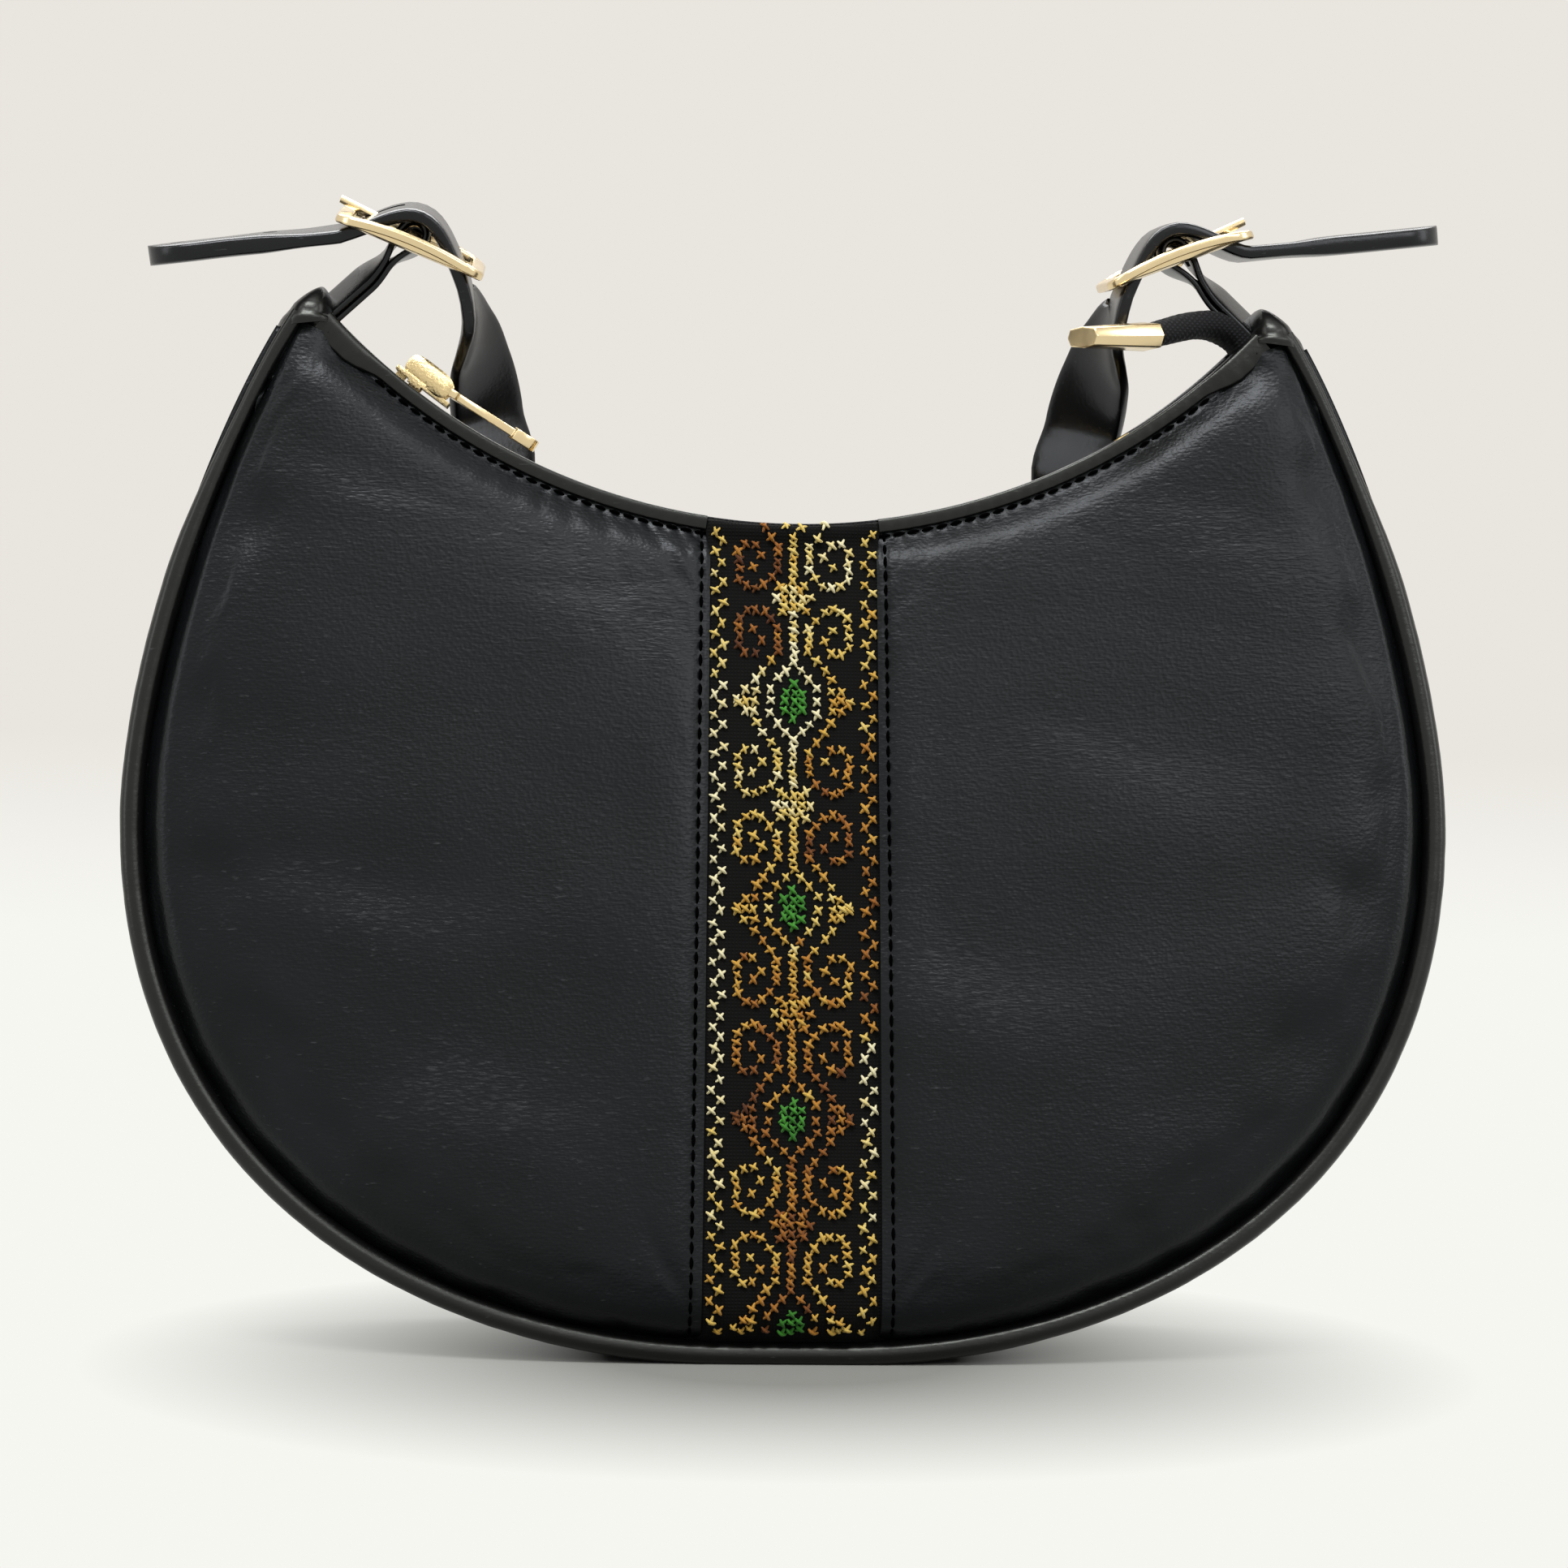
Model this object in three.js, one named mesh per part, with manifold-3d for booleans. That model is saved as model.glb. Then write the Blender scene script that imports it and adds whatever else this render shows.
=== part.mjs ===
// Half moon shoulder bag: puffed leather body, embroidered front strip, arched zip, buckled strap.
// Millimetres, +Z up, front towards -Y. It stands on z = 0, the origin is the middle of its base.
import * as THREE from "three";
import { mergeVertices } from "three/addons/utils/BufferGeometryUtils.js";
import Module from "manifold-3d";

const wasm = await Module();
wasm.setup();

// Outline of the body, along the centre line of the piping
const BODY_WIDTH = 270; // over the piping, at the widest place
const HORN_HEIGHT = 210.5; // base to the end of the piping
const HORN_INSET = 33.2; // end of the piping inside the widest place
const HORN_LEAN = 32.7; // degrees that the outline leans inwards at the horn
const WIDEST_SHARE = 0.5154; // height of the widest place, as a share of the horn's
const BASE_FLAT = 20; // straight stretch that the bag stands on
const BOTTOM_FULLNESS = 60.6; // curve handles, from the base up to the horn
const FLANK_FULLNESS = 74;
const SHOULDER_FULLNESS = 31.5;
const HORN_FULLNESS = 27.3;

// Mouth: an arc that dips between the horns
const HORN_THICKNESS = 7.8; // end of the mouth to the end of the piping
const HORN_DIP = 0.9; // end of the mouth below the end of the piping
const MOUTH_SAG = 40.2; // middle of the mouth below its ends
const MOUTH_DEPTH = 20; // front edge to back edge

// Depth of the body
const BASE_DEPTH = 54; // front piping to back piping, at the base
const HORN_DEPTH = 18; // the same, at the horns
const TAPER_START = 0.12; // share of the seam, from the base, where the gusset starts to narrow
const PANEL_PUFF = 8; // how far the panels stand out of the straight line from mouth to seam
const PUFF_RISE = 2.2; // powers: how soon the puff grows below the mouth,
const PUFF_FALL = 10; // how late it drops at the seam,
const PUFF_FADE = 4; // and how late it fades towards the horns

// Leather, padding and lining
const LEATHER = 1.2;
const FOAM = 2;
const LINING = 0.5;
const GUSSET_LEATHER = 1.6;
const STIFFENER = 1.5;
const STIFFENER_SHARE = 0.24; // share of each half of the seam that the base stiffener covers
const STIFFENER_MARGIN = 5; // stiffener short of the pipings
const PIPING_RADIUS = 2.4;
const PIPING_SQUASH = 0.5; // depth of the flat that the piping stands on
const STRIP_WIDTH = 35;
const STRIP_RECESS = 0.9; // strip face below the leather face
const STRIP_THICKNESS = 0.8;
const STRIP_PLAY = 0.001; // share of the seam between the strip and a panel, to each side of the fold
const BINDING_HEIGHT = 3.3;
const BINDING_PROUD = 1.2; // binding past the panel's face
const BINDING_THICKNESS = 3.1;
const BINDING_ROUND = 0.9;
const FACE_SHARE = 0.985; // share of the seam, from the base, where leather ends at the horns
const FOAM_SHARE = 0.88;
const LINING_SHARE = 0.9;
const FOAM_RUN = [0.05, 0.97]; // shares of the way from the mouth to the seam
const LINING_RUN = [0.02, 0.99];
const POCKET_RUN = [0.2, 0.78];
const POCKET_SHARE = 0.26; // share of each half of the seam that the pocket spans
const POCKET_THICKNESS = 0.5;
const GAP = 0.3; // between pieces that lie against each other
const LAYER_GAP = 0.6; // between padding, lining and leather, which are divided differently
const OVERLAP = 0.8; // how far the parts of one casting run into each other

// Zip
const TAPE_THICKNESS = 0.7;
const TAPE_FROM_HORN = 4.8; // ends of the tapes, along the mouth from its ends
const CHAIN_LIFT = -0.3; // middle of the chain, above the binding's top
const CHAIN_FROM_HORN = 37; // last tooth, along the mouth from its right end
const TOOTH_PITCH = 4.4;
const TOOTH_WIDTH = 1.6;
const TOOTH_REACH = 0.9; // tooth tip past the middle of the chain
const TOOTH_HEIGHT = 2.2;
const BEAD_NEAR = 1.3; // the corded edge that carries the teeth, from the middle of the chain
const BEAD_FAR = 2.4;
const STOP_LENGTH = 3;
const STOP_REST = 1; // stop clear of the slider and of the last tooth
const SLIDER_FROM_HORN = 22.4; // middle of the slider, along the mouth from its left end
const SLIDER_LENGTH = 13;
const SLIDER_WIDTH = 8.8;
const SLIDER_NARROWING = 1; // each side, at both ends of the plates
const SLIDER_NOSE = 2;
const SLIDER_PLATE = 1;
const SLIDER_NECK = 2.2;
const SLIDER_PLAY = 0.5;
const FLANGE_LENGTH = 3;
const FLANGE_WIDTH = 1.4;
const BAIL_WIDTH = 2.2;
const BAIL_BAR = 1.2;
const BAIL_WINDOW_LENGTH = 5;
const BAIL_WINDOW_HEIGHT = 3;
const PULL_LENGTH = 26;
const PULL_THICKNESS = 1.6;
const PULL_HEAD_WIDTH = 5.8;
const PULL_HEAD_LENGTH = 7.2;
const PULL_HEAD_BAR = 1.2;
const PULL_CORNER = 1;
const PULL_BAR_WIDTH = 3;
const PULL_END_LENGTH = 6;
const PULL_END_WIDTH = 4.6;
const PULL_END_CORNER = 2;
const PULL_END_SWELL = 0.8; // end thicker than the bar
const PULL_LIE = 5; // degrees that the pull stands up from the chain
const TAIL_WIDTH = 11;
const TAIL_THICKNESS = 3.2;
const TAIL_RISE = 3.2; // straight stretch up from the tape
const TAIL_BEND = { inwards: 5.6, forwards: 1.4, up: 4.6 }; // root to the end of the bend
const TAIL_REACH = 15; // straight stretch from the bend to the cap
const TAIL_CLEAR = 1.2; // cap in front of the strap, where the strap leaves the buckle
const TAIL_FALL = 0.08;
const TAIL_CAP_LENGTH = 18;
const TAIL_CAP_HEIGHT = 6;
const TAIL_CAP_OVER = 1; // cap wider than the tail
const TAIL_CAP_TIP = 0.72; // end section of the cap, as a share of its root section
const TAIL_CAP_SQUARE = 1.15; // how far its eight-sided section is pushed out to a square

// Horns, strap and buckles
const CAP_HEIGHT = 5.2;
const CAP_OVERHANG = 1.8;
const CAP_SIDE = 0.5; // cap past the pipings
const CAP_SEAT = 1.6; // cap above the line between the ends of the binding and the piping
const TAB_WIDTH = 11;
const TAB_LEATHER = 1.4;
const TAB_CLOSED = 3.5; // stretch at the foot where both layers meet
const BAR_INSET = 15; // bar inside the end of the mouth
const BAR_RISE = 15.9; // bar above the end of the mouth
const BUCKLE_LENGTH = 32;
const BUCKLE_CORNER = 5;
const WINDOW_CORNER = 1; // small, so that the strap's edges pass
const BUCKLE_BAR = 3;
const BUCKLE_THICKNESS = 2;
const BUCKLE_BOW = 1.8; // rise of the middle over the ends
const BUCKLE_SLOPE = 21.2; // degrees that a buckle falls towards the middle of the bag
const BUCKLE_TILT = { left: 12, right: 4 }; // degrees that its back edge stands higher
const TAIL_DROOP = { left: 7, right: -1 }; // degrees that the free strap end falls
const STRAP_WIDTH = 18;
const STRAP_THICKNESS = 3;
const STRAP_PLAY = 0.5; // strap to buckle, at each side
const STRAP_SLACK = 1.2; // strap under the end bars of a buckle
const STRAP_CLIMB = [
  [0.56, 0.36],
  [0.3, 0.85],
]; // shares of the buckle's half length and of the height over its bar
const STRAP_TAIL = 36; // free end past the buckle
const STRAP_LEAN = [
  [0.3, 0.4],
  [0.62, 0.9],
]; // shares of the way down from a buckle to the loop, and of the way back
const STRAP_LEG_SHARE = 0.53; // share of the seam where a strap leg passes the back edge
const STRAP_DROP_SHARE = 0.62; // share of the back's height that the hanging loop covers
const STRAP_CLEAR = 1; // strap behind the back panel
const STRAP_EDGE_CLEAR = 1.5; // more where it passes the back binding
const STRAP_TWIST = 52; // degrees that the legs turn towards the back panel
const HOLE_RADIUS = 1.5;
const HOLE_FIRST = 6; // first punched hole from the tip
const HOLE_PITCH = 19;
const PRONG_RADIUS = 1.1;
const PRONG_PLAY = 0.6;
const PRONG_TIP = 0.6; // tip past the end of the buckle
const PRONG_TAPER = 0.75; // tip radius, as a share of the root's
const PRONG_EYE_EXTRA = 0.6; // eye wider than the pin
const PRONG_LIFT = 25; // degrees that the slot lets the prong rise
const SLOT_REACH = 4; // slot past the end of the buckle

const rad = THREE.MathUtils.degToRad;
const deg = THREE.MathUtils.radToDeg;
const lerp = THREE.MathUtils.lerp;
const smoothstep = THREE.MathUtils.smoothstep;
const vec = (x, y, z) => new THREE.Vector3(x, y, z);
const flatPoint = (x, y) => new THREE.Vector2(x, y);
const FRONT = -1;
const BACK = 1;
const SIDE = { left: -1, right: 1 };

// Closed geometry

// Turns the faces of a closed geometry outwards.
function facingOut(geometry) {
  const { position } = geometry.attributes;
  const index = geometry.index.array;
  const corner = [vec(), vec(), vec()];
  let volume = 0;
  for (let i = 0; i < index.length; i += 3) {
    corner.forEach((point, k) => point.fromBufferAttribute(position, index[i + k]));
    volume += corner[0].dot(corner[1].cross(corner[2]));
  }
  if (volume < 0) {
    index.reverse();
  }
  geometry.computeVertexNormals();
  return geometry;
}

// Keeps only the positions, with shared corners merged.
function merged(geometry) {
  const bare = new THREE.BufferGeometry();
  bare.setAttribute("position", geometry.getAttribute("position"));
  bare.setIndex(geometry.index);
  return mergeVertices(bare, 1e-4);
}

// Moves every corner of a closed geometry to place(x, y, z).
function shaped(geometry, place) {
  const result = merged(geometry);
  const { position } = result.attributes;
  for (let i = 0; i < position.count; i += 1) {
    const point = place(position.getX(i), position.getY(i), position.getZ(i));
    position.setXYZ(i, point.x, point.y, point.z);
  }
  return facingOut(result);
}

// A box from 0 to 1 each way, divided so that it can be bent.
function unitBox(columns, rows = 1) {
  return new THREE.BoxGeometry(1, 1, 1, columns, rows, 1).translate(0.5, 0.5, 0.5);
}

function solid(geometry) {
  const closed = facingOut(merged(geometry));
  return new wasm.Manifold(
    new wasm.Mesh({
      numProp: 3,
      vertProperties: new Float32Array(closed.attributes.position.array),
      triVerts: new Uint32Array(closed.index.array),
    }),
  );
}

function fromSolid(manifold) {
  const mesh = manifold.getMesh();
  const geometry = new THREE.BufferGeometry();
  geometry.setAttribute("position", new THREE.BufferAttribute(mesh.vertProperties, 3));
  geometry.setIndex(new THREE.BufferAttribute(mesh.triVerts, 1));
  geometry.computeVertexNormals();
  return geometry;
}

const joined = (...parts) => fromSolid(parts.map(solid).reduce((whole, part) => whole.add(part)));
const cutBy = (body, ...tools) =>
  fromSolid(tools.map(solid).reduce((whole, tool) => whole.subtract(tool), solid(body)));

// A box between two corners.
function block(low, high) {
  const size = high.map((value, k) => value - low[k]);
  const middle = high.map((value, k) => (value + low[k]) / 2);
  return new THREE.BoxGeometry(...size).translate(...middle);
}

// A rectangle with round corners, as points in order.
function roundedRectangle(xLow, xHigh, yHalf, corner, divisions = 3) {
  const centres = [
    [xHigh - corner, yHalf - corner, 0],
    [xLow + corner, yHalf - corner, 90],
    [xLow + corner, corner - yHalf, 180],
    [xHigh - corner, corner - yHalf, 270],
  ];
  return centres.flatMap(([x, y, start]) =>
    Array.from({ length: divisions + 1 }, (_, k) => {
      const turn = rad(start + (90 * k) / divisions);
      return flatPoint(x + corner * Math.cos(turn), y + corner * Math.sin(turn));
    }),
  );
}

// An outline drawn in X and Y, as a plate of even thickness about z = 0.
function plate(shape, thickness) {
  const options = { depth: thickness, bevelEnabled: false };
  return new THREE.ExtrudeGeometry(shape, options).translate(0, 0, -thickness / 2);
}

// An outline drawn in X and Z, extruded along Y and centred on y = 0.
function slab(shape, width, curveSegments = 6) {
  const options = { depth: width, bevelEnabled: false, curveSegments };
  return shaped(new THREE.ExtrudeGeometry(shape, options), (x, z, y) => vec(x, y - width / 2, z));
}

// A flat band along a row of stations { at, across }, with one half width for each station.
function ribbon(stations, halfWidths, thickness) {
  const last = stations.length - 1;
  const frames = stations.map(({ at, across }, k) => {
    const before = stations[Math.max(k - 1, 0)].at;
    const along = stations[Math.min(k + 1, last)].at.clone().sub(before).normalize();
    const wide = across.clone().addScaledVector(along, -across.dot(along)).normalize();
    return { at, wide, up: along.clone().cross(wide).normalize() };
  });
  return shaped(unitBox(last), (a, b, c) => {
    const k = Math.round(a * last);
    const { at, wide, up } = frames[k];
    return at
      .clone()
      .addScaledVector(wide, lerp(-halfWidths[k], halfWidths[k], b))
      .addScaledVector(up, lerp(-thickness / 2, thickness / 2, c));
  });
}

// Stations on a smooth curve through a few given ones.
function smoothStations(given, steps) {
  const through = (points) => new THREE.CatmullRomCurve3(points, false, "catmullrom", 0.5);
  const path = through(given.map(({ at }) => at));
  const turn = through(given.map(({ across }) => across));
  const count = (given.length - 1) * steps;
  return Array.from({ length: count + 1 }, (_, k) => ({
    at: path.getPoint(k / count),
    across: turn.getPoint(k / count).normalize(),
  }));
}

// Curves of the body

const SEAM_HALF_WIDTH = BODY_WIDTH / 2 - PIPING_RADIUS;
const SEAM_BASE = PIPING_RADIUS - PIPING_SQUASH;
const WIDEST_HEIGHT = WIDEST_SHARE * HORN_HEIGHT;
const HORN_HALF_SPREAD = BODY_WIDTH / 2 - HORN_INSET;
const MOUTH_HALF_WIDTH = HORN_HALF_SPREAD - HORN_THICKNESS;
const MOUTH_RADIUS = (MOUTH_HALF_WIDTH ** 2 + MOUTH_SAG ** 2) / (2 * MOUTH_SAG);
const MOUTH_HALF_ANGLE = deg(Math.asin(MOUTH_HALF_WIDTH / MOUTH_RADIUS));
const MOUTH_CENTRE = HORN_HEIGHT - HORN_DIP - MOUTH_SAG + MOUTH_RADIUS;
const degreesOf = (length) => deg(length / MOUTH_RADIUS);

const baseMiddle = flatPoint(0, SEAM_BASE);
const baseEnd = flatPoint(BASE_FLAT / 2, SEAM_BASE);
const widest = flatPoint(SEAM_HALF_WIDTH, WIDEST_HEIGHT);
const hornEnd = flatPoint(HORN_HALF_SPREAD, HORN_HEIGHT);
const intoHorn = flatPoint(Math.sin(rad(HORN_LEAN)), -Math.cos(rad(HORN_LEAN)));

const halfSeam = new THREE.CurvePath();
halfSeam.add(new THREE.LineCurve(baseMiddle, baseEnd));
halfSeam.add(
  new THREE.CubicBezierCurve(
    baseEnd,
    flatPoint(baseEnd.x + BOTTOM_FULLNESS, baseEnd.y),
    flatPoint(widest.x, widest.y - FLANK_FULLNESS),
    widest,
  ),
);
halfSeam.add(
  new THREE.CubicBezierCurve(
    widest,
    flatPoint(widest.x, widest.y + SHOULDER_FULLNESS),
    hornEnd.clone().addScaledVector(intoHorn, HORN_FULLNESS),
    hornEnd,
  ),
);

// Point of the seam, moved inwards by inset. s is -1 at the left horn, 0 at the base, 1 at the right.
function seam(s, inset = 0) {
  const share = Math.min(Math.abs(s), 1);
  const point = halfSeam.getPoint(share);
  const along = halfSeam.getTangent(share);
  const x = point.x - along.y * inset;
  return { x: s < 0 ? -x : x, z: point.y + along.x * inset };
}

// Half the distance between the two pipings.
function gussetHalf(s) {
  return lerp(BASE_DEPTH, HORN_DEPTH, smoothstep(Math.abs(s), TAPER_START, 1)) / 2;
}

// Point over the mouth arc: angle in degrees from the middle, y across, lift towards the arc's centre.
function mouthPoint(angle, y, lift) {
  const radius = MOUTH_RADIUS - lift;
  return vec(radius * Math.sin(rad(angle)), y, MOUTH_CENTRE - radius * Math.cos(rad(angle)));
}

// Share of the seam where the outline is x away from the centre line.
function seamShareAt(x) {
  let low = 0;
  let high = 0.5;
  for (let i = 0; i < 40; i += 1) {
    const middle = (low + high) / 2;
    if (seam(middle).x < x) {
      low = middle;
    } else {
      high = middle;
    }
  }
  return low;
}

const STRIP_SHARE = seamShareAt(STRIP_WIDTH / 2);
const STRIP_ANGLE = deg(Math.asin(STRIP_WIDTH / 2 / MOUTH_RADIUS));
const PANEL_DROP = BINDING_HEIGHT + LAYER_GAP;
const PANEL_INSET = PIPING_RADIUS + GAP;

// Angle on the mouth arc that faces a place on the seam: plumb above it behind the strip, then in step.
function mouthAngle(s) {
  const share = Math.abs(s);
  if (share <= STRIP_SHARE) {
    return deg(Math.asin(seam(s).x / MOUTH_RADIUS));
  }
  const step = (share - STRIP_SHARE) / (1 - STRIP_SHARE);
  return Math.sign(s) * lerp(STRIP_ANGLE, MOUTH_HALF_ANGLE, step);
}

// Point of the leather's outer face: v runs from the mouth, 0, to the seam, 1. depth is half the body's.
function facePoint(s, v) {
  const head = mouthPoint(mouthAngle(s), 0, -PANEL_DROP);
  const foot = seam(s, PANEL_INSET);
  const crown = (1 - (1 - v) ** PUFF_RISE) * (1 - v ** PUFF_FALL) * (1 - Math.abs(s) ** PUFF_FADE);
  return {
    x: lerp(head.x, foot.x, v),
    z: lerp(head.z, foot.z, v),
    depth: lerp(MOUTH_DEPTH / 2, gussetHalf(s), v) + PANEL_PUFF * crown,
  };
}

const MOUTH_END = mouthPoint(MOUTH_HALF_ANGLE, 0, 0);
const BAR = vec(MOUTH_END.x - BAR_INSET, 0, MOUTH_END.z + BAR_RISE); // middle of the right buckle
const BUCKLE_HALF = BUCKLE_LENGTH / 2;

// A sheet on one face of the bag, between two depths under the leather's outer face.
function faceSheet(side, [sLow, sHigh], [vLow, vHigh], [outer, inner], columns, rows) {
  return shaped(unitBox(columns, rows), (a, b, c) => {
    const point = facePoint(lerp(sLow, sHigh, a), lerp(vLow, vHigh, b));
    return vec(point.x, side * (point.depth - lerp(outer, inner, c)), point.z);
  });
}

// A band across the bag that follows the seam, between two insets, short of the pipings by margin.
function seamBand(sEnd, margin, [outer, inner], columns) {
  return shaped(unitBox(columns), (a, b, c) => {
    const s = lerp(-sEnd, sEnd, a);
    const point = seam(s, lerp(outer, inner, c));
    const half = gussetHalf(s) - margin;
    return vec(point.x, lerp(-half, half, b), point.z);
  });
}

// A bar along the mouth with one section, drawn as (y, lift).
function mouthBar(section, fromAngle, toAngle, steps) {
  const shape = new THREE.Shape(section.map(([y, lift]) => flatPoint(y, lift)));
  const bar = new THREE.ExtrudeGeometry(shape, { depth: 1, steps, bevelEnabled: false });
  return shaped(bar, (y, lift, t) => mouthPoint(lerp(fromAngle, toAngle, t), y, lift));
}

// Body pieces

const layerUnder = (above, gap, thickness) => [above[1] + gap, above[1] + gap + thickness];
const LEATHER_LAYER = [0, LEATHER];
const STRIP_LAYER = [STRIP_RECESS, STRIP_RECESS + STRIP_THICKNESS];
const FOAM_LAYER = layerUnder(STRIP_LAYER, LAYER_GAP, FOAM);
const LINING_LAYER = layerUnder(FOAM_LAYER, LAYER_GAP, LINING);
const POCKET_LAYER = layerUnder(LINING_LAYER, LAYER_GAP, POCKET_THICKNESS);
const GUSSET_LAYER = [-SEAM_BASE, GUSSET_LEATHER - SEAM_BASE];
const STIFFENER_LAYER = layerUnder(GUSSET_LAYER, GAP, STIFFENER);
const GUSSET_LINING_LAYER = layerUnder(STIFFENER_LAYER, GAP, LINING);

function piping(side) {
  const section = new THREE.Shape().absarc(0, 0, PIPING_RADIUS, 0, 2 * Math.PI);
  const count = 44;
  const route = Array.from({ length: count + 1 }, (_, k) => {
    const s = lerp(-1, 1, k / count);
    const point = seam(s);
    return vec(point.x, side * gussetHalf(s), point.z);
  });
  const extrudePath = new THREE.CatmullRomCurve3(route);
  const tube = new THREE.ExtrudeGeometry(section, { steps: 56, curveSegments: 4, extrudePath });
  const reach = BODY_WIDTH;
  return cutBy(tube, block([-reach, -reach, -2 * PIPING_RADIUS], [reach, reach, 0]));
}

function binding(side) {
  const outer = MOUTH_DEPTH / 2 + BINDING_PROUD;
  const inner = outer - BINDING_THICKNESS;
  const section = [
    [outer, -BINDING_HEIGHT],
    [outer, -BINDING_ROUND],
    [outer - BINDING_ROUND, 0],
    [inner + BINDING_ROUND, 0],
    [inner, -BINDING_ROUND],
    [inner, -BINDING_HEIGHT],
  ].map(([y, lift]) => [side * y, lift]);
  return mouthBar(section, -MOUTH_HALF_ANGLE, MOUTH_HALF_ANGLE, 40);
}

// Zip pieces

const TAPE_FAR = MOUTH_DEPTH / 2 + BINDING_PROUD - BINDING_THICKNESS - GAP;
const TAPE_END_ANGLE = MOUTH_HALF_ANGLE - degreesOf(TAPE_FROM_HORN);
const SHUT_ANGLE = degreesOf(SLIDER_FROM_HORN) - MOUTH_HALF_ANGLE;
const NECK_BACK = SLIDER_NECK + STOP_REST - SLIDER_LENGTH / 2;
const CHAIN_START_ANGLE = SHUT_ANGLE + degreesOf(NECK_BACK);
const CHAIN_END_ANGLE = MOUTH_HALF_ANGLE - degreesOf(CHAIN_FROM_HORN);
const CHAIN_LENGTH = rad(CHAIN_END_ANGLE - CHAIN_START_ANGLE) * MOUTH_RADIUS;
const TOP_STOP_ANGLE = SHUT_ANGLE - degreesOf(SLIDER_LENGTH / 2 + STOP_REST + STOP_LENGTH);
const END_STOP_ANGLE = CHAIN_END_ANGLE + degreesOf(TOOTH_PITCH / 2 + STOP_REST);

// A flat section about the middle of the chain, for a bar along the mouth.
function chainSection(yLow, yHigh, thickness) {
  const [under, over] = [CHAIN_LIFT - thickness / 2, CHAIN_LIFT + thickness / 2];
  return [
    [yLow, under],
    [yHigh, under],
    [yHigh, over],
    [yLow, over],
  ];
}

function zipTape(side) {
  const section = chainSection(side * (BEAD_FAR + GAP), side * TAPE_FAR, TAPE_THICKNESS);
  return mouthBar(section, -TAPE_END_ANGLE, TAPE_END_ANGLE, 40);
}

// One row of teeth on its bead. The back row is half a pitch on, so that the rows interlock.
function zipTeeth(side) {
  const count = Math.floor(CHAIN_LENGTH / TOOTH_PITCH);
  const offset = side === FRONT ? 0 : TOOTH_PITCH / 2;
  const bent = (box, sLow, sHigh, yLow, yHigh) =>
    shaped(box, (a, b, c) =>
      mouthPoint(
        CHAIN_START_ANGLE + degreesOf(lerp(sLow, sHigh, a)),
        side * lerp(yLow, yHigh, b),
        CHAIN_LIFT + lerp(-TOOTH_HEIGHT, TOOTH_HEIGHT, c) / 2,
      ),
    );
  const length = (count - 1) * TOOTH_PITCH + TOOTH_WIDTH;
  const bead = bent(unitBox(count), offset, offset + length, BEAD_NEAR, BEAD_FAR);
  const root = (BEAD_NEAR + BEAD_FAR) / 2;
  const teeth = Array.from({ length: count }, (_, k) => {
    const start = offset + k * TOOTH_PITCH;
    return bent(unitBox(1), start, start + TOOTH_WIDTH, -TOOTH_REACH, root);
  });
  return joined(bead, ...teeth);
}

// A metal clip on one edge of the chain, or across both.
function zipStop(fromAngle, yLow, yHigh) {
  const section = chainSection(yLow, yHigh, TOOTH_HEIGHT);
  return mouthBar(section, fromAngle, fromAngle + degreesOf(STOP_LENGTH), 1);
}

const PLATE_LOW = CHAIN_LIFT + TOOTH_HEIGHT / 2 + SLIDER_PLAY; // inner faces of the slider's plates
const UNDER_PLATE_HIGH = CHAIN_LIFT - TOOTH_HEIGHT / 2 - SLIDER_PLAY;
const PLATE_TOP = PLATE_LOW + SLIDER_PLATE;
const BAIL_MIDDLE = PLATE_TOP + BAIL_WINDOW_HEIGHT / 2;

// The loop on the slider that holds the pull.
function sliderBail() {
  const windowHalf = BAIL_WINDOW_LENGTH / 2;
  const half = windowHalf + BAIL_BAR;
  const windowTop = PLATE_TOP + BAIL_WINDOW_HEIGHT;
  const foot = PLATE_TOP - SLIDER_PLATE / 2;
  const bail = new THREE.Shape([
    flatPoint(-half, foot),
    flatPoint(half, foot),
    flatPoint(half, windowTop),
    flatPoint(windowHalf, windowTop + BAIL_BAR),
    flatPoint(-windowHalf, windowTop + BAIL_BAR),
    flatPoint(-half, windowTop),
  ]);
  bail.holes.push(
    new THREE.Path([
      flatPoint(-windowHalf, PLATE_TOP),
      flatPoint(-windowHalf, windowTop),
      flatPoint(windowHalf, windowTop),
      flatPoint(windowHalf, PLATE_TOP),
    ]),
  );
  return slab(bail, BAIL_WIDTH);
}

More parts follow.
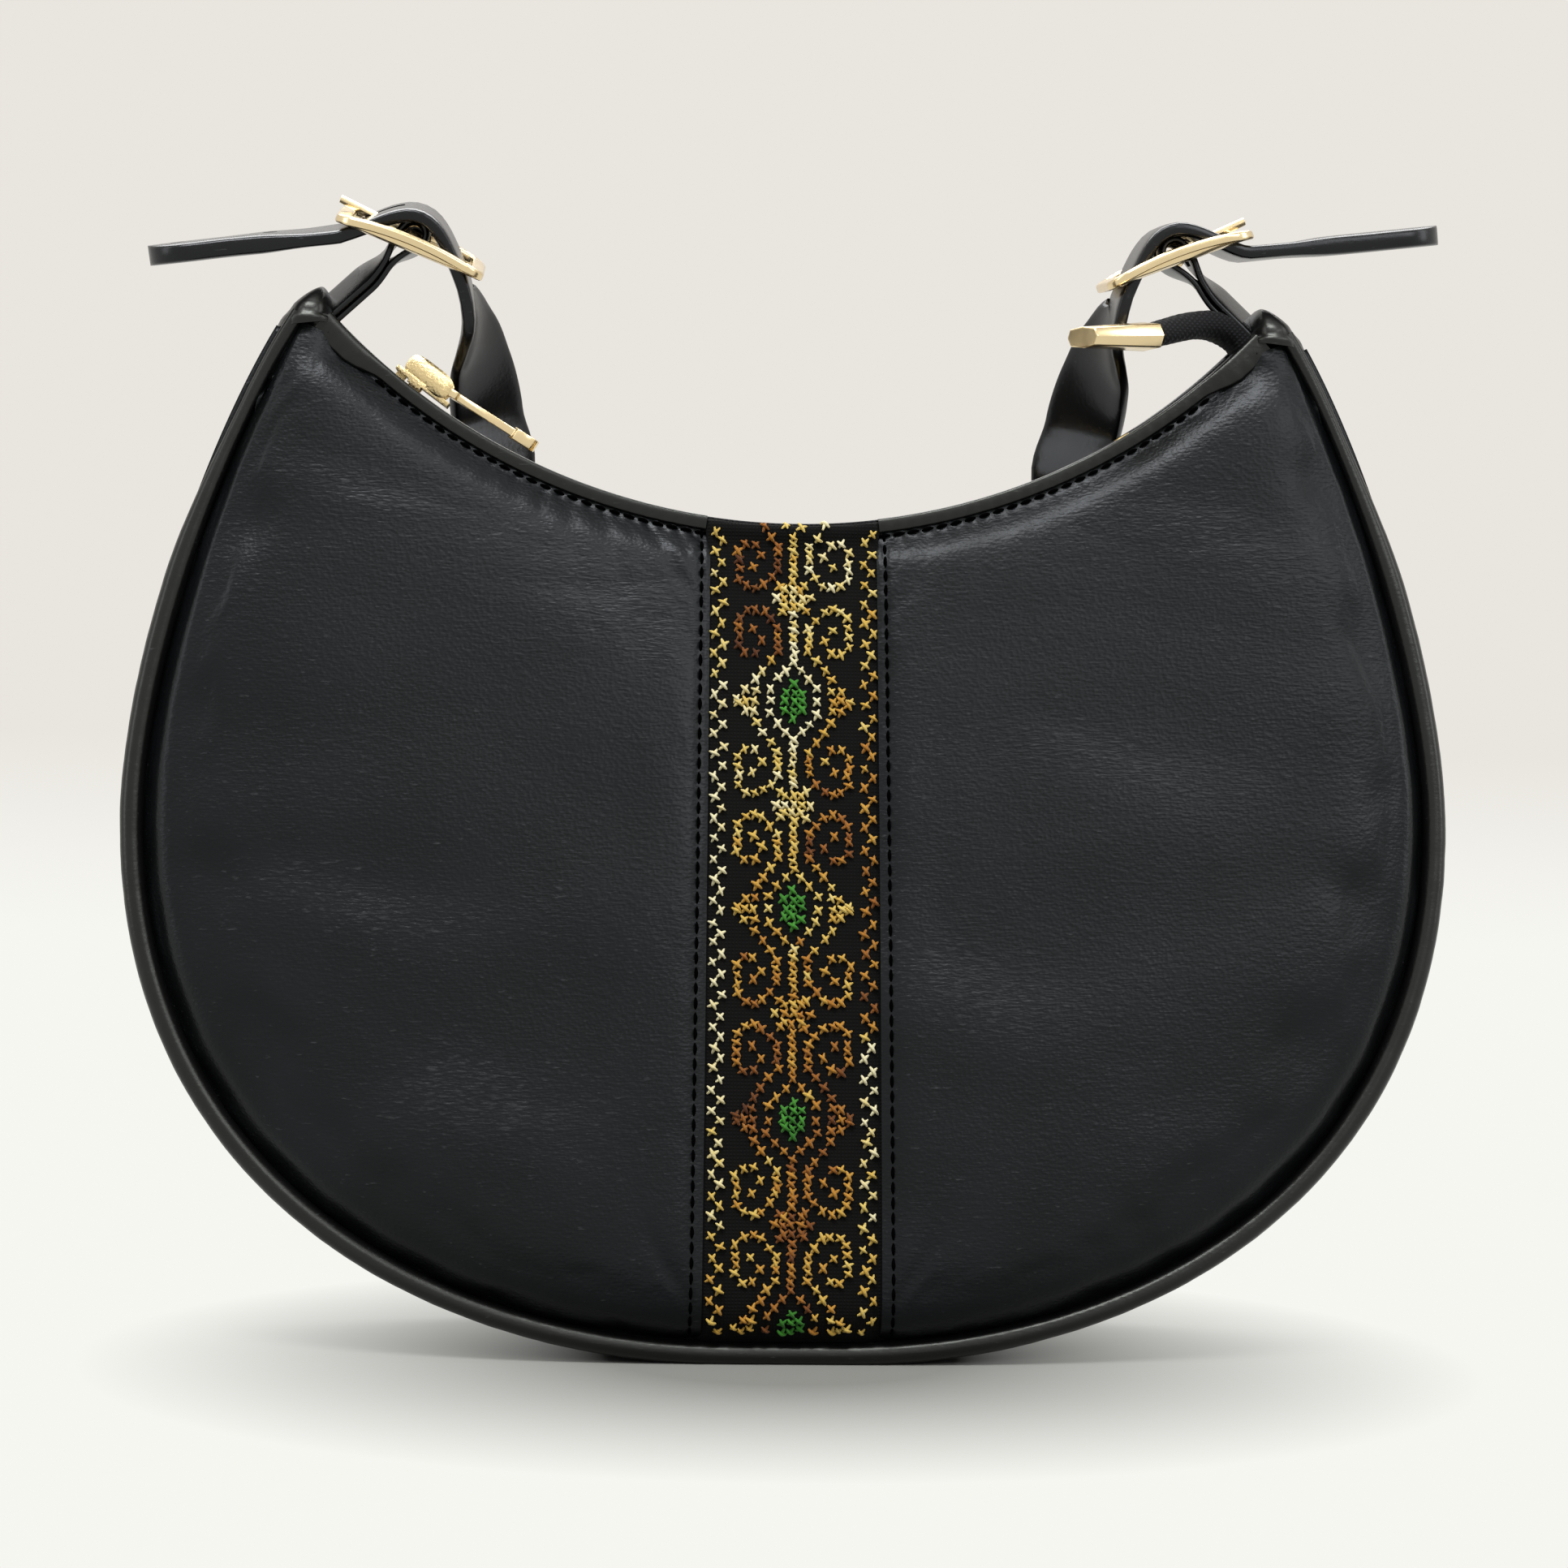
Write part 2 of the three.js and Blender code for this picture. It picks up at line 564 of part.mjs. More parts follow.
// Slider, with x along the chain, z up: two shield plates on a neck, side flanges, and a bail on top.
function zipSlider() {
  const half = SLIDER_LENGTH / 2;
  const wide = SLIDER_WIDTH / 2;
  const narrow = wide - SLIDER_NARROWING;
  const shield = new THREE.Shape([
    flatPoint(-half, -narrow),
    flatPoint(SLIDER_NOSE - half, -wide),
    flatPoint(0, -wide),
    flatPoint(half, -narrow),
    flatPoint(half, narrow),
    flatPoint(0, wide),
    flatPoint(SLIDER_NOSE - half, wide),
    flatPoint(-half, narrow),
  ]);
  const halfPlate = SLIDER_PLATE / 2;
  const [plateMiddle, underMiddle] = [PLATE_LOW + halfPlate, UNDER_PLATE_HIGH - halfPlate];
  const neckStart = STOP_REST / 2 - half;
  const parts = [
    plate(shield, SLIDER_PLATE).translate(0, 0, plateMiddle),
    plate(shield, SLIDER_PLATE).translate(0, 0, underMiddle),
    block(
      [neckStart, -SLIDER_NECK / 2, underMiddle],
      [neckStart + SLIDER_NECK, SLIDER_NECK / 2, plateMiddle],
    ),
    sliderBail(),
  ];
  const slot = TAPE_THICKNESS / 2 + SLIDER_PLAY;
  for (const yLow of [-wide, wide - FLANGE_WIDTH]) {
    const yHigh = yLow + FLANGE_WIDTH;
    parts.push(block([-FLANGE_LENGTH, yLow, CHAIN_LIFT + slot], [0, yHigh, plateMiddle]));
    parts.push(block([-FLANGE_LENGTH, yLow, underMiddle], [0, yHigh, CHAIN_LIFT - slot]));
  }
  return joined(...parts);
}

// Pull, lying along +X from its hinge line at the origin: a head round the bail, a bar, a thicker end.
function zipPull() {
  const eye = PULL_THICKNESS / 2;
  const head = new THREE.Shape(
    roundedRectangle(-eye, PULL_HEAD_LENGTH, PULL_HEAD_WIDTH / 2, PULL_CORNER),
  );
  const opening = roundedRectangle(
    eye,
    PULL_HEAD_LENGTH - PULL_HEAD_BAR,
    BAIL_WIDTH / 2 + SLIDER_PLAY,
    PULL_CORNER / 2,
    1,
  );
  head.holes.push(new THREE.Path(opening.reverse()));
  const endStart = PULL_LENGTH - PULL_END_LENGTH;
  const end = new THREE.Shape(
    roundedRectangle(endStart, PULL_LENGTH, PULL_END_WIDTH / 2, PULL_END_CORNER),
  );
  const bar = block(
    [PULL_HEAD_LENGTH - OVERLAP, -PULL_BAR_WIDTH / 2, -PULL_THICKNESS / 2],
    [endStart + OVERLAP, PULL_BAR_WIDTH / 2, PULL_THICKNESS / 2],
  );
  return joined(plate(head, PULL_THICKNESS), bar, plate(end, PULL_THICKNESS + PULL_END_SWELL));
}

// Zip tail: the end of the tape comes up at the right horn and turns back over the mouth.
const TAIL_ANGLE = TAPE_END_ANGLE - degreesOf(TAIL_THICKNESS / 2);
const TAIL_ROOT = mouthPoint(TAIL_ANGLE, 0, CHAIN_LIFT + TAPE_THICKNESS / 2 + LAYER_GAP);
const TAIL_UP = mouthPoint(TAIL_ANGLE, 0, CHAIN_LIFT + TAIL_RISE);
const TAIL_TURN = TAIL_ROOT.clone().add(vec(-TAIL_BEND.inwards, -TAIL_BEND.forwards, TAIL_BEND.up));
const capHalfWidth = (TAIL_WIDTH + TAIL_CAP_OVER) / 2;
const tailRun = TAIL_TURN.x - BAR.x + BUCKLE_HALF * Math.cos(rad(BUCKLE_SLOPE));
const tailSwing = STRAP_WIDTH / 2 + TAIL_CLEAR + capHalfWidth - TAIL_BEND.forwards;
const tailYaw = Math.atan2(tailSwing, tailRun); // swings to the front, past the strap's edge
const tailAcross = vec(-Math.sin(tailYaw), Math.cos(tailYaw), 0);
const tailAlong = vec(-Math.cos(tailYaw), -Math.sin(tailYaw), -TAIL_FALL).normalize();
const TAIL_TIP = TAIL_TURN.clone().addScaledVector(tailAlong, TAIL_REACH);

function zipTail() {
  const upright = vec(0, 1, 0);
  const turning = upright.clone().lerp(tailAcross, 0.5).normalize();
  const stations = smoothStations(
    [
      { at: TAIL_ROOT, across: upright },
      { at: TAIL_UP, across: upright },
      { at: TAIL_TURN, across: turning },
      { at: TAIL_TURN.clone().addScaledVector(tailAlong, TAIL_REACH / 2), across: tailAcross },
      { at: TAIL_TIP, across: tailAcross },
    ],
    3,
  );
  return ribbon(stations, stations.map(() => TAIL_WIDTH / 2), TAIL_THICKNESS);
}

// Metal cap on the tail: an eight-sided section that tapers to its end.
function zipEndCap() {
  const up = tailAcross.clone().cross(tailAlong).negate();
  const squared = (value) => Math.sign(value) * Math.min(1, Math.abs(value) * TAIL_CAP_SQUARE);
  return shaped(new THREE.CylinderGeometry(1, 1, 1, 8), (x, y, z) => {
    const share = y + 0.5;
    const size = lerp(1, TAIL_CAP_TIP, share);
    return TAIL_TIP.clone()
      .addScaledVector(tailAlong, GAP + share * TAIL_CAP_LENGTH)
      .addScaledVector(tailAcross, squared(x) * size * capHalfWidth)
      .addScaledVector(up, (squared(z) * size * TAIL_CAP_HEIGHT) / 2);
  });
}

// Horn caps, buckles, prongs and tabs

const HORN_ACROSS = vec(HORN_HALF_SPREAD, 0, HORN_HEIGHT).sub(MOUTH_END);
const HORN_MIDDLE = MOUTH_END.clone().addScaledVector(HORN_ACROSS, 0.5);
const CAP_HALF = HORN_ACROSS.length() / 2 + CAP_OVERHANG;
const onSide = (hand, point) => vec(SIDE[hand] * point.x, point.y, point.z);

// Leather wrapped over a horn, as a nose with a flat underside.
function hornCap(hand) {
  const nose = new THREE.Shape();
  nose.absellipse(0, 0, CAP_HALF, CAP_HEIGHT, 0, Math.PI);
  const width = HORN_DEPTH + 2 * (PIPING_RADIUS + CAP_SIDE);
  const along = HORN_ACROSS.clone().normalize();
  const out = vec(-along.z, 0, along.x);
  return shaped(slab(nose, width, 8), (x, y, z) => {
    const place = HORN_MIDDLE.clone().addScaledVector(along, x).addScaledVector(out, z + CAP_SEAT);
    return onSide(hand, place.setY(y));
  });
}

// Placement of a buckle: local x falls towards the middle of the bag, y is the bar, z stands out.
function buckleFrame(hand) {
  const place = new THREE.Matrix4().makeTranslation(onSide(hand, BAR));
  place.multiply(new THREE.Matrix4().makeRotationX(rad(BUCKLE_TILT[hand])));
  place.multiply(new THREE.Matrix4().makeRotationY(-SIDE[hand] * rad(BUCKLE_SLOPE)));
  if (hand === "right") {
    place.multiply(new THREE.Matrix4().makeRotationZ(Math.PI));
  }
  return place;
}

const BUCKLE_HALF_WIDTH = STRAP_WIDTH / 2 + STRAP_PLAY + BUCKLE_BAR;
const BAR_RADIUS = Math.hypot(BUCKLE_BAR, BUCKLE_THICKNESS) / 2;
const bowAt = (x) => BUCKLE_BOW * (1 - (x / BUCKLE_HALF) ** 2);

// Two-window frame with a middle bar, bowed along its length.
function buckle() {
  const bendStep = 5;
  const divided = (points) =>
    points.flatMap((point, k) => {
      const next = points[(k + 1) % points.length];
      const parts = Math.max(1, Math.round(point.distanceTo(next) / bendStep));
      return Array.from({ length: parts }, (_, i) => point.clone().lerp(next, i / parts));
    });
  const outline = roundedRectangle(-BUCKLE_HALF, BUCKLE_HALF, BUCKLE_HALF_WIDTH, BUCKLE_CORNER);
  const frame = new THREE.Shape(divided(outline));
  const near = BUCKLE_BAR / 2;
  const far = BUCKLE_HALF - BUCKLE_BAR;
  for (const [low, high] of [
    [near, far],
    [-far, -near],
  ]) {
    const opening = roundedRectangle(low, high, BUCKLE_HALF_WIDTH - BUCKLE_BAR, WINDOW_CORNER, 2);
    frame.holes.push(new THREE.Path(divided(opening).reverse()));
  }
  return shaped(plate(frame, BUCKLE_THICKNESS), (x, y, z) => vec(x, y, z + bowAt(x)));
}

const EYE_INNER = BAR_RADIUS + GAP;
const EYE_WIDTH = 2 * PRONG_RADIUS + PRONG_EYE_EXTRA;
const END_BAR_TOP = BUCKLE_THICKNESS / 2 + bowAt(BUCKLE_HALF - BUCKLE_BAR);
const PRONG_REST = END_BAR_TOP + PRONG_RADIUS + GAP - BUCKLE_BOW; // tip over the middle of the bar

// Prong: an eye on the bar and a pin that rests on the outer end of the frame.
function prong() {
  const eye = new THREE.Shape().absarc(0, 0, EYE_INNER + PRONG_RADIUS, 0, 2 * Math.PI);
  eye.holes.push(new THREE.Path().absarc(0, 0, EYE_INNER, 0, 2 * Math.PI, true));
  const near = EYE_INNER + PRONG_RADIUS / 2;
  const far = BUCKLE_HALF + PRONG_TIP;
  const pin = shaped(new THREE.CylinderGeometry(1, 1, 1, 8), (x, y, z) => {
    const share = y + 0.5;
    const radius = lerp(PRONG_RADIUS, PRONG_RADIUS * PRONG_TAPER, share);
    return vec(-lerp(near, far, share), x * radius, z * radius + PRONG_REST * share);
  });
  return joined(slab(eye, EYE_WIDTH, 5), pin).translate(0, 0, BUCKLE_BOW);
}

const STEEPEST_TILT = Math.max(BUCKLE_TILT.left, BUCKLE_TILT.right);
const TILT_ROOM = (TAB_WIDTH / 2) * Math.tan(rad(STEEPEST_TILT));
const LOOP_INNER = BAR_RADIUS + GAP + TILT_ROOM;
const LOOP_OUTER = LOOP_INNER + TAB_LEATHER;

// Tab: a leather loop sewn in at the horn, closed round the bar, notched for the prong's eye.
function strapTab(hand) {
  const slope = rad(BUCKLE_SLOPE);
  const bar = BAR.clone().add(vec(-Math.sin(slope), 0, Math.cos(slope)).multiplyScalar(BUCKLE_BOW));
  const beside = CAP_HALF + GAP + TAB_LEATHER;
  const foot = HORN_MIDDLE.clone().add(vec(-beside, 0, CAP_SEAT + TAB_LEATHER / 2));
  const down = foot.clone().sub(bar);
  const heading = Math.atan2(down.z, down.x);
  const footPoint = (offset, up) =>
    flatPoint(
      foot.x - Math.sin(heading) * offset - Math.cos(heading) * up,
      foot.z + Math.cos(heading) * offset - Math.sin(heading) * up,
    );
  // Arc round the bar, from one side that runs straight to the foot to the other.
  const roundBar = (radius, footHalf) => {
    const spread = Math.acos((radius - footHalf) / down.length());
    const bends = 12;
    return Array.from({ length: bends + 1 }, (_, k) => {
      const turn = heading + spread + (2 * (Math.PI - spread) * k) / bends;
      return flatPoint(bar.x + radius * Math.cos(turn), bar.z + radius * Math.sin(turn));
    });
  };
  const shape = new THREE.Shape([
    ...roundBar(LOOP_OUTER, TAB_LEATHER),
    footPoint(-TAB_LEATHER, 0),
    footPoint(TAB_LEATHER, 0),
  ]);
  const opening = [...roundBar(LOOP_INNER, 0), footPoint(0, TAB_CLOSED)];
  shape.holes.push(new THREE.Path(opening.reverse()));
  const notchRadius = LOOP_OUTER + OVERLAP;
  const notchWidth = EYE_WIDTH + 2 * PRONG_PLAY;
  const notch = new THREE.CylinderGeometry(notchRadius, notchRadius, notchWidth, 16)
    .rotateX(rad(BUCKLE_TILT[hand]))
    .translate(bar.x, bar.y, bar.z);
  return shaped(cutBy(slab(shape, TAB_WIDTH), notch), (x, y, z) => onSide(hand, vec(x, y, z)));
}

// Strap

const UNDER_END = -(BUCKLE_THICKNESS + STRAP_THICKNESS) / 2 - GAP - STRAP_SLACK;
const OVER_BAR = BUCKLE_BOW + LOOP_OUTER + TILT_ROOM + GAP + STRAP_THICKNESS / 2;

// One buckled end, from the tip of its tail to where it leaves the buckle towards the back.
function strapEnd(hand) {
  const frame = buckleFrame(hand);
  const tilt = rad(BUCKLE_TILT[hand]);
  const across = vec(0, Math.cos(tilt), Math.sin(tilt));
  const insideEnd = BUCKLE_HALF - BUCKLE_BAR - LAYER_GAP;
  const climb = STRAP_CLIMB.map(([along, up]) => [along * BUCKLE_HALF, up * OVER_BAR]);
  const threaded = [
    [-BUCKLE_HALF - STRAP_THICKNESS / 2, UNDER_END - GAP],
    [-insideEnd, UNDER_END + GAP],
    ...climb.map(([x, z]) => [-x, z]),
    [0, OVER_BAR],
    ...climb.toReversed(),
    [insideEnd, UNDER_END + GAP],
    [BUCKLE_HALF, UNDER_END - STRAP_THICKNESS / 2],
  ].map(([x, z]) => ({ at: vec(x, 0, z).applyMatrix4(frame), across }));
  const droop = rad(TAIL_DROOP[hand]);
  const outwards = vec(SIDE[hand] * Math.cos(droop), 0, -Math.sin(droop));
  const tail = [STRAP_TAIL, STRAP_TAIL - STRAP_WIDTH / 2, STRAP_TAIL / 2].map((length) => ({
    at: threaded[0].at.clone().addScaledVector(outwards, length),
    across,
  }));
  return [...tail, ...threaded];
}

// The loop that hangs behind: two legs that turn towards the back panel and an edge-on bend below.
function strapLoop() {
  const bends = 12;
  return Array.from({ length: bends + 1 }, (_, k) => {
    const turn = (Math.PI * k) / bends;
    const leg = Math.cos(turn);
    const point = facePoint(-STRAP_LEG_SHARE * leg, STRAP_DROP_SHARE * Math.sin(turn));
    const twist = rad(STRAP_TWIST) * leg ** 2;
    const reach = (STRAP_WIDTH * Math.cos(twist) + STRAP_THICKNESS * Math.sin(twist)) / 2;
    const edge = (BINDING_PROUD + STRAP_EDGE_CLEAR) * leg ** 4;
    return {
      at: vec(point.x, point.depth + edge + STRAP_CLEAR + reach, point.z),
      across: vec(Math.sign(leg) * Math.sin(twist), Math.cos(twist), 0),
    };
  });
}

// Stations between a buckle and the loop, where the strap leans back over the bag's edge.
function strapLean(from, to, hand) {
  return STRAP_LEAN.map(([down, back]) => {
    const twist = rad(STRAP_TWIST) * down;
    const at = from.at.clone().lerp(to.at, down);
    at.y = lerp(from.at.y, to.at.y, back);
    return { at, across: vec(-SIDE[hand] * Math.sin(twist), Math.cos(twist), 0) };
  });
}

// The room that a prong needs as it rises, in the place of its buckle.
function prongSweep(hand) {
  const room = PRONG_RADIUS + PRONG_PLAY;
  const reach = BUCKLE_HALF + SLOT_REACH;
  const lift = rad(PRONG_LIFT);
  const over = PRONG_REST + room;
  const [overX, overZ] = [over * Math.sin(lift), over * Math.cos(lift)];
  const sweep = new THREE.Shape([
    flatPoint(0, -room),
    flatPoint(-reach, -room),
    flatPoint(overX - reach * Math.cos(lift), overZ + reach * Math.sin(lift)),
    flatPoint(overX, overZ),
  ]);
  return slab(sweep, 2 * room).translate(0, 0, BUCKLE_BOW).applyMatrix4(buckleFrame(hand));
}

// Punched holes near the tip of one end, and the slot that its prong stands in.
function strapHoles(hand, end) {
  const inwards = end[1].at.clone().sub(end[0].at).normalize();
  const out = inwards.clone().cross(end[0].across).normalize();
  const turn = new THREE.Quaternion().setFromUnitVectors(vec(0, 1, 0), out);
  const holes = [HOLE_FIRST, HOLE_FIRST + HOLE_PITCH].map((distance) => {
    const middle = end[0].at.clone().addScaledVector(inwards, distance);
    return new THREE.CylinderGeometry(HOLE_RADIUS, HOLE_RADIUS, 3 * STRAP_THICKNESS, 8)
      .applyQuaternion(turn)
      .translate(middle.x, middle.y, middle.z);
  });
  return [...holes, prongSweep(hand)];
}

function shoulderStrap() {
  const left = strapEnd("left");
  const right = strapEnd("right");
  const loop = strapLoop();
  const given = [
    ...left,
    ...strapLean(left.at(-1), loop[0], "left"),
    ...loop,
    ...strapLean(right.at(-1), loop.at(-1), "right").reverse(),
    ...right.toReversed(),
  ];
  const smooth = smoothStations(given, 3);
  // Closer stations at each end, for the round tip.
  const tipSteps = [0, 0.02, 0.09, 0.22, 0.45];
  const tip = ([end, next]) =>
    tipSteps.map((share) => ({ at: end.at.clone().lerp(next.at, share), across: end.across }));
  const stations = [...tip(left), ...smooth.slice(2, -2), ...tip(right).reverse()];
  const radius = STRAP_WIDTH / 2;
  const halfWidths = stations.map(({ at }) => {
    const fromTip = Math.min(stations[0].at.distanceTo(at), stations.at(-1).at.distanceTo(at));
    const inside = Math.min(radius, fromTip + tipSteps[1] * radius);
    return Math.sqrt(radius ** 2 - (radius - inside) ** 2);
  });
  const band = ribbon(stations, halfWidths, STRAP_THICKNESS);
  return cutBy(band, ...strapHoles("left", left), ...strapHoles("right", right));
}

// Assembly

const LEATHER_BLACK = { color: 0x2b2d2f, roughness: 0.5 };
const PIPING_BLACK = { color: 0x1d1e20, roughness: 0.4 };
const CLOTH_BLACK = { color: 0x17171a, roughness: 0.95 };
const FOAM_WHITE = { color: 0xd8d6cf, roughness: 0.95 };
const LINING_BLACK = { color: 0x1c1c20, roughness: 0.8 };
const GOLD = { color: 0xc79a4b, roughness: 0.25, metalness: 1 };

const bag = new THREE.Group();

function add(name, geometry, finish, parent = bag) {
  const mesh = new THREE.Mesh(geometry, new THREE.MeshStandardMaterial(finish));
  mesh.name = name;
  parent.add(mesh);
}

const WHOLE = [0, 1];
const both = (share) => [-share, share];
const panelStart = STRIP_SHARE + STRIP_PLAY;
const leftSpan = [-FACE_SHARE, -panelStart];
const rightSpan = [panelStart, FACE_SHARE];
const stripSpan = both(STRIP_SHARE - STRIP_PLAY);
add("front_panel_left", faceSheet(FRONT, leftSpan, WHOLE, LEATHER_LAYER, 15, 9), LEATHER_BLACK);
add("front_panel_right", faceSheet(FRONT, rightSpan, WHOLE, LEATHER_LAYER, 15, 9), LEATHER_BLACK);
add("embroidered_strip", faceSheet(FRONT, stripSpan, WHOLE, STRIP_LAYER, 4, 12), CLOTH_BLACK);
add("back_panel", faceSheet(BACK, both(FACE_SHARE), WHOLE, LEATHER_LAYER, 30, 9), LEATHER_BLACK);
const pocketSpan = both(POCKET_SHARE);
add("slip_pocket", faceSheet(BACK, pocketSpan, POCKET_RUN, POCKET_LAYER, 8, 6), LINING_BLACK);

const stiffenerBand = seamBand(STIFFENER_SHARE, STIFFENER_MARGIN, STIFFENER_LAYER, 16);
const liningMargin = LINING_LAYER[1] + LAYER_GAP;
add("gusset", seamBand(FACE_SHARE, PANEL_INSET, GUSSET_LAYER, 56), LEATHER_BLACK);
add("base_stiffener", stiffenerBand, FOAM_WHITE);
add("lining_gusset", seamBand(LINING_SHARE, liningMargin, GUSSET_LINING_LAYER, 40), LINING_BLACK);

for (const [face, side] of [
  ["front", FRONT],
  ["back", BACK],
]) {
  add(`${face}_foam`, faceSheet(side, both(FOAM_SHARE), FOAM_RUN, FOAM_LAYER, 14, 6), FOAM_WHITE);
  const lining = faceSheet(side, both(LINING_SHARE), LINING_RUN, LINING_LAYER, 14, 6);
  add(`lining_${face}`, lining, LINING_BLACK);
  add(`${face}_piping`, piping(side), PIPING_BLACK);
  add(`${face}_top_binding`, binding(side), PIPING_BLACK);
  add(`zip_tape_${face}`, zipTape(side), CLOTH_BLACK);
  add(`zip_teeth_${face}`, zipTeeth(side), GOLD);
  add(`zip_top_stop_${face}`, zipStop(TOP_STOP_ANGLE, side * BEAD_NEAR, side * BEAD_FAR), GOLD);
}
add("zip_bottom_stop", zipStop(END_STOP_ANGLE, -BEAD_FAR, BEAD_FAR), GOLD);

const sliderFrame = new THREE.Group();
sliderFrame.position.copy(mouthPoint(SHUT_ANGLE, 0, 0));
sliderFrame.rotation.y = -rad(SHUT_ANGLE);
bag.add(sliderFrame);
add("zip_slider", zipSlider(), GOLD, sliderFrame);
const pullFrame = new THREE.Group();
pullFrame.position.z = BAIL_MIDDLE;
pullFrame.rotation.y = -rad(PULL_LIE);
sliderFrame.add(pullFrame);
add("zip_pull", zipPull(), GOLD, pullFrame);
add("zip_tail", zipTail(), CLOTH_BLACK);
add("zip_end_cap", zipEndCap(), GOLD);

for (const hand of ["left", "right"]) {
  add(`horn_cap_${hand}`, hornCap(hand), PIPING_BLACK);
  add(`strap_tab_${hand}`, strapTab(hand), LEATHER_BLACK);
  const frame = new THREE.Group();
  frame.applyMatrix4(buckleFrame(hand));
  bag.add(frame);
  add(`buckle_${hand}`, buckle(), GOLD, frame);
  add(`prong_${hand}`, prong(), GOLD, frame);
}
add("shoulder_strap", shoulderStrap(), LEATHER_BLACK);

export default bag;
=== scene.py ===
# %% [markdown]
# # A half moon shoulder bag
# A small bag of black leather: two padded faces sewn to a narrow gusset, an embroidered strip down
# the front, a zip along the dipping mouth, and a strap buckled to both horns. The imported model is
# the frame. Every soft piece here is a new, finer mesh in the place of its plain solid.

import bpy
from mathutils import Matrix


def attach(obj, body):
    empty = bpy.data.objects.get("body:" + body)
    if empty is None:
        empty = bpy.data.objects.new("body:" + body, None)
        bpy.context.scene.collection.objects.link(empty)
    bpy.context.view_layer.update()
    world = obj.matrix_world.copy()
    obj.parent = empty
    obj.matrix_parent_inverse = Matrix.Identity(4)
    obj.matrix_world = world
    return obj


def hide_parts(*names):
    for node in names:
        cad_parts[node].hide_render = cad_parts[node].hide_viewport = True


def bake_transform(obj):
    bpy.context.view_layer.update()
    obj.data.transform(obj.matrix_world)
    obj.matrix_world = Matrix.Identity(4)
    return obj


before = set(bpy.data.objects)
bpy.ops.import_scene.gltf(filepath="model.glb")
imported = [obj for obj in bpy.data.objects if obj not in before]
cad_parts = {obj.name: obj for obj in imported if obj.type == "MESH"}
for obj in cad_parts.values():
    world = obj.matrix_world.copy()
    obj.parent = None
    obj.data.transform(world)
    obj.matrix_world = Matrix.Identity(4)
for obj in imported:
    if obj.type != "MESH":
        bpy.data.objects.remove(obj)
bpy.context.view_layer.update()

import math

import bmesh
import bpy
import numpy as np
from mathutils import Matrix, Vector, noise
from mathutils.bvhtree import BVHTree

MM = 0.001
scene = bpy.context.scene
scene.view_settings.view_transform = "Standard"

# %% [markdown]
# ## Camera
# The bag is seen square on, from about the height of its middle, through a long lens. The lens is
# worked out from two numbers: how many pixels of the image a millimetre of the bag takes up, and
# how far away the camera stands. It stands a little to the left, and a small roll matches the bag's
# lean.

# %% Camera
IMAGE = 1932  # pixels, both ways
PIXELS_PER_MM = 6.1
VIEW_DISTANCE = 750 * MM
VIEW_RISE = math.radians(1.5)
VIEW_TURN = math.radians(-3.5)
VIEW_ROLL = math.radians(1.0)
AIM = Vector((-1.6, -20, 116.3)) * MM

lens = bpy.data.cameras.new("camera")
lens.sensor_width = 36
lens.lens = lens.sensor_width * PIXELS_PER_MM * VIEW_DISTANCE / MM / IMAGE
camera = bpy.data.objects.new("camera", lens)
scene.collection.objects.link(camera)
turn = Matrix.Rotation(VIEW_TURN, 4, "Z") @ Matrix.Rotation(math.pi / 2 - VIEW_RISE, 4, "X")
away = turn @ Vector((0, 0, VIEW_DISTANCE))
camera.matrix_world = Matrix.Translation(AIM + away) @ turn @ Matrix.Rotation(VIEW_ROLL, 4, "Z")
scene.camera = camera
print(f"lens {lens.lens:.1f} mm")

# %% [markdown]
# ## Helpers for meshes and nodes
# Most soft pieces are a grid of points or a row of rings, worked out with numpy in millimetres. A few
# helpers turn those into meshes, turn modifiers into plain geometry, and hand a finished piece to its
# body. The last two add nodes to any tree, for materials and geometry alike.


# %% Helpers for meshes
def lerp(a, b, t):
    return a + (b - a) * t


def linked(name, mesh):
    obj = bpy.data.objects.new(name, mesh)
    scene.collection.objects.link(obj)
    return obj


def grid_piece(name, grid, outward):
    """A sheet from a grid of points in mm, with its middle face turned towards outward."""
    rows, columns = grid.shape[:2]
    index = np.arange(rows * columns).reshape(rows, columns)
    faces = np.stack([index[:-1, :-1], index[:-1, 1:], index[1:, 1:], index[1:, :-1]], -1)
    mesh = bpy.data.meshes.new(name)
    mesh.from_pydata((grid.reshape(-1, 3) * MM).tolist(), [], faces.reshape(-1, 4).tolist())
    middle = mesh.polygons[(rows - 1) // 2 * (columns - 1) + (columns - 1) // 2]
    if middle.normal.dot(Vector(outward)) < 0:
        mesh.flip_normals()
    mesh.shade_smooth()
    return linked(name, mesh)


def ring_piece(name, *parts, sharp=50):
    """A closed skin through rings of points in mm, capped at both ends. Parts share one mesh."""
    points, faces = [], []
    for rings in parts:
        count, around = rings.shape[:2]
        index = np.arange(count * around).reshape(count, around) + len(points)
        ahead = np.roll(index, -1, axis=1)
        faces += np.stack([index[:-1], ahead[:-1], ahead[1:], index[1:]], -1).reshape(-1, 4).tolist()
        faces += [index[0].tolist(), index[-1][::-1].tolist()]
        points += (rings.reshape(-1, 3) * MM).tolist()
    mesh = bpy.data.meshes.new(name)
    mesh.from_pydata(points, [], faces)
    return closed_out(linked(name, mesh), sharp)


def closed_out(obj, sharp=50):
    """Turns the faces of a closed mesh outwards and shades it smooth, but for sharp edges."""
    work = bmesh.new()
    work.from_mesh(obj.data)
    bmesh.ops.recalc_face_normals(work, faces=work.faces)
    work.to_mesh(obj.data)
    work.free()
    obj.data.shade_smooth()
    obj.data.set_sharp_from_angle(angle=math.radians(sharp))
    return obj


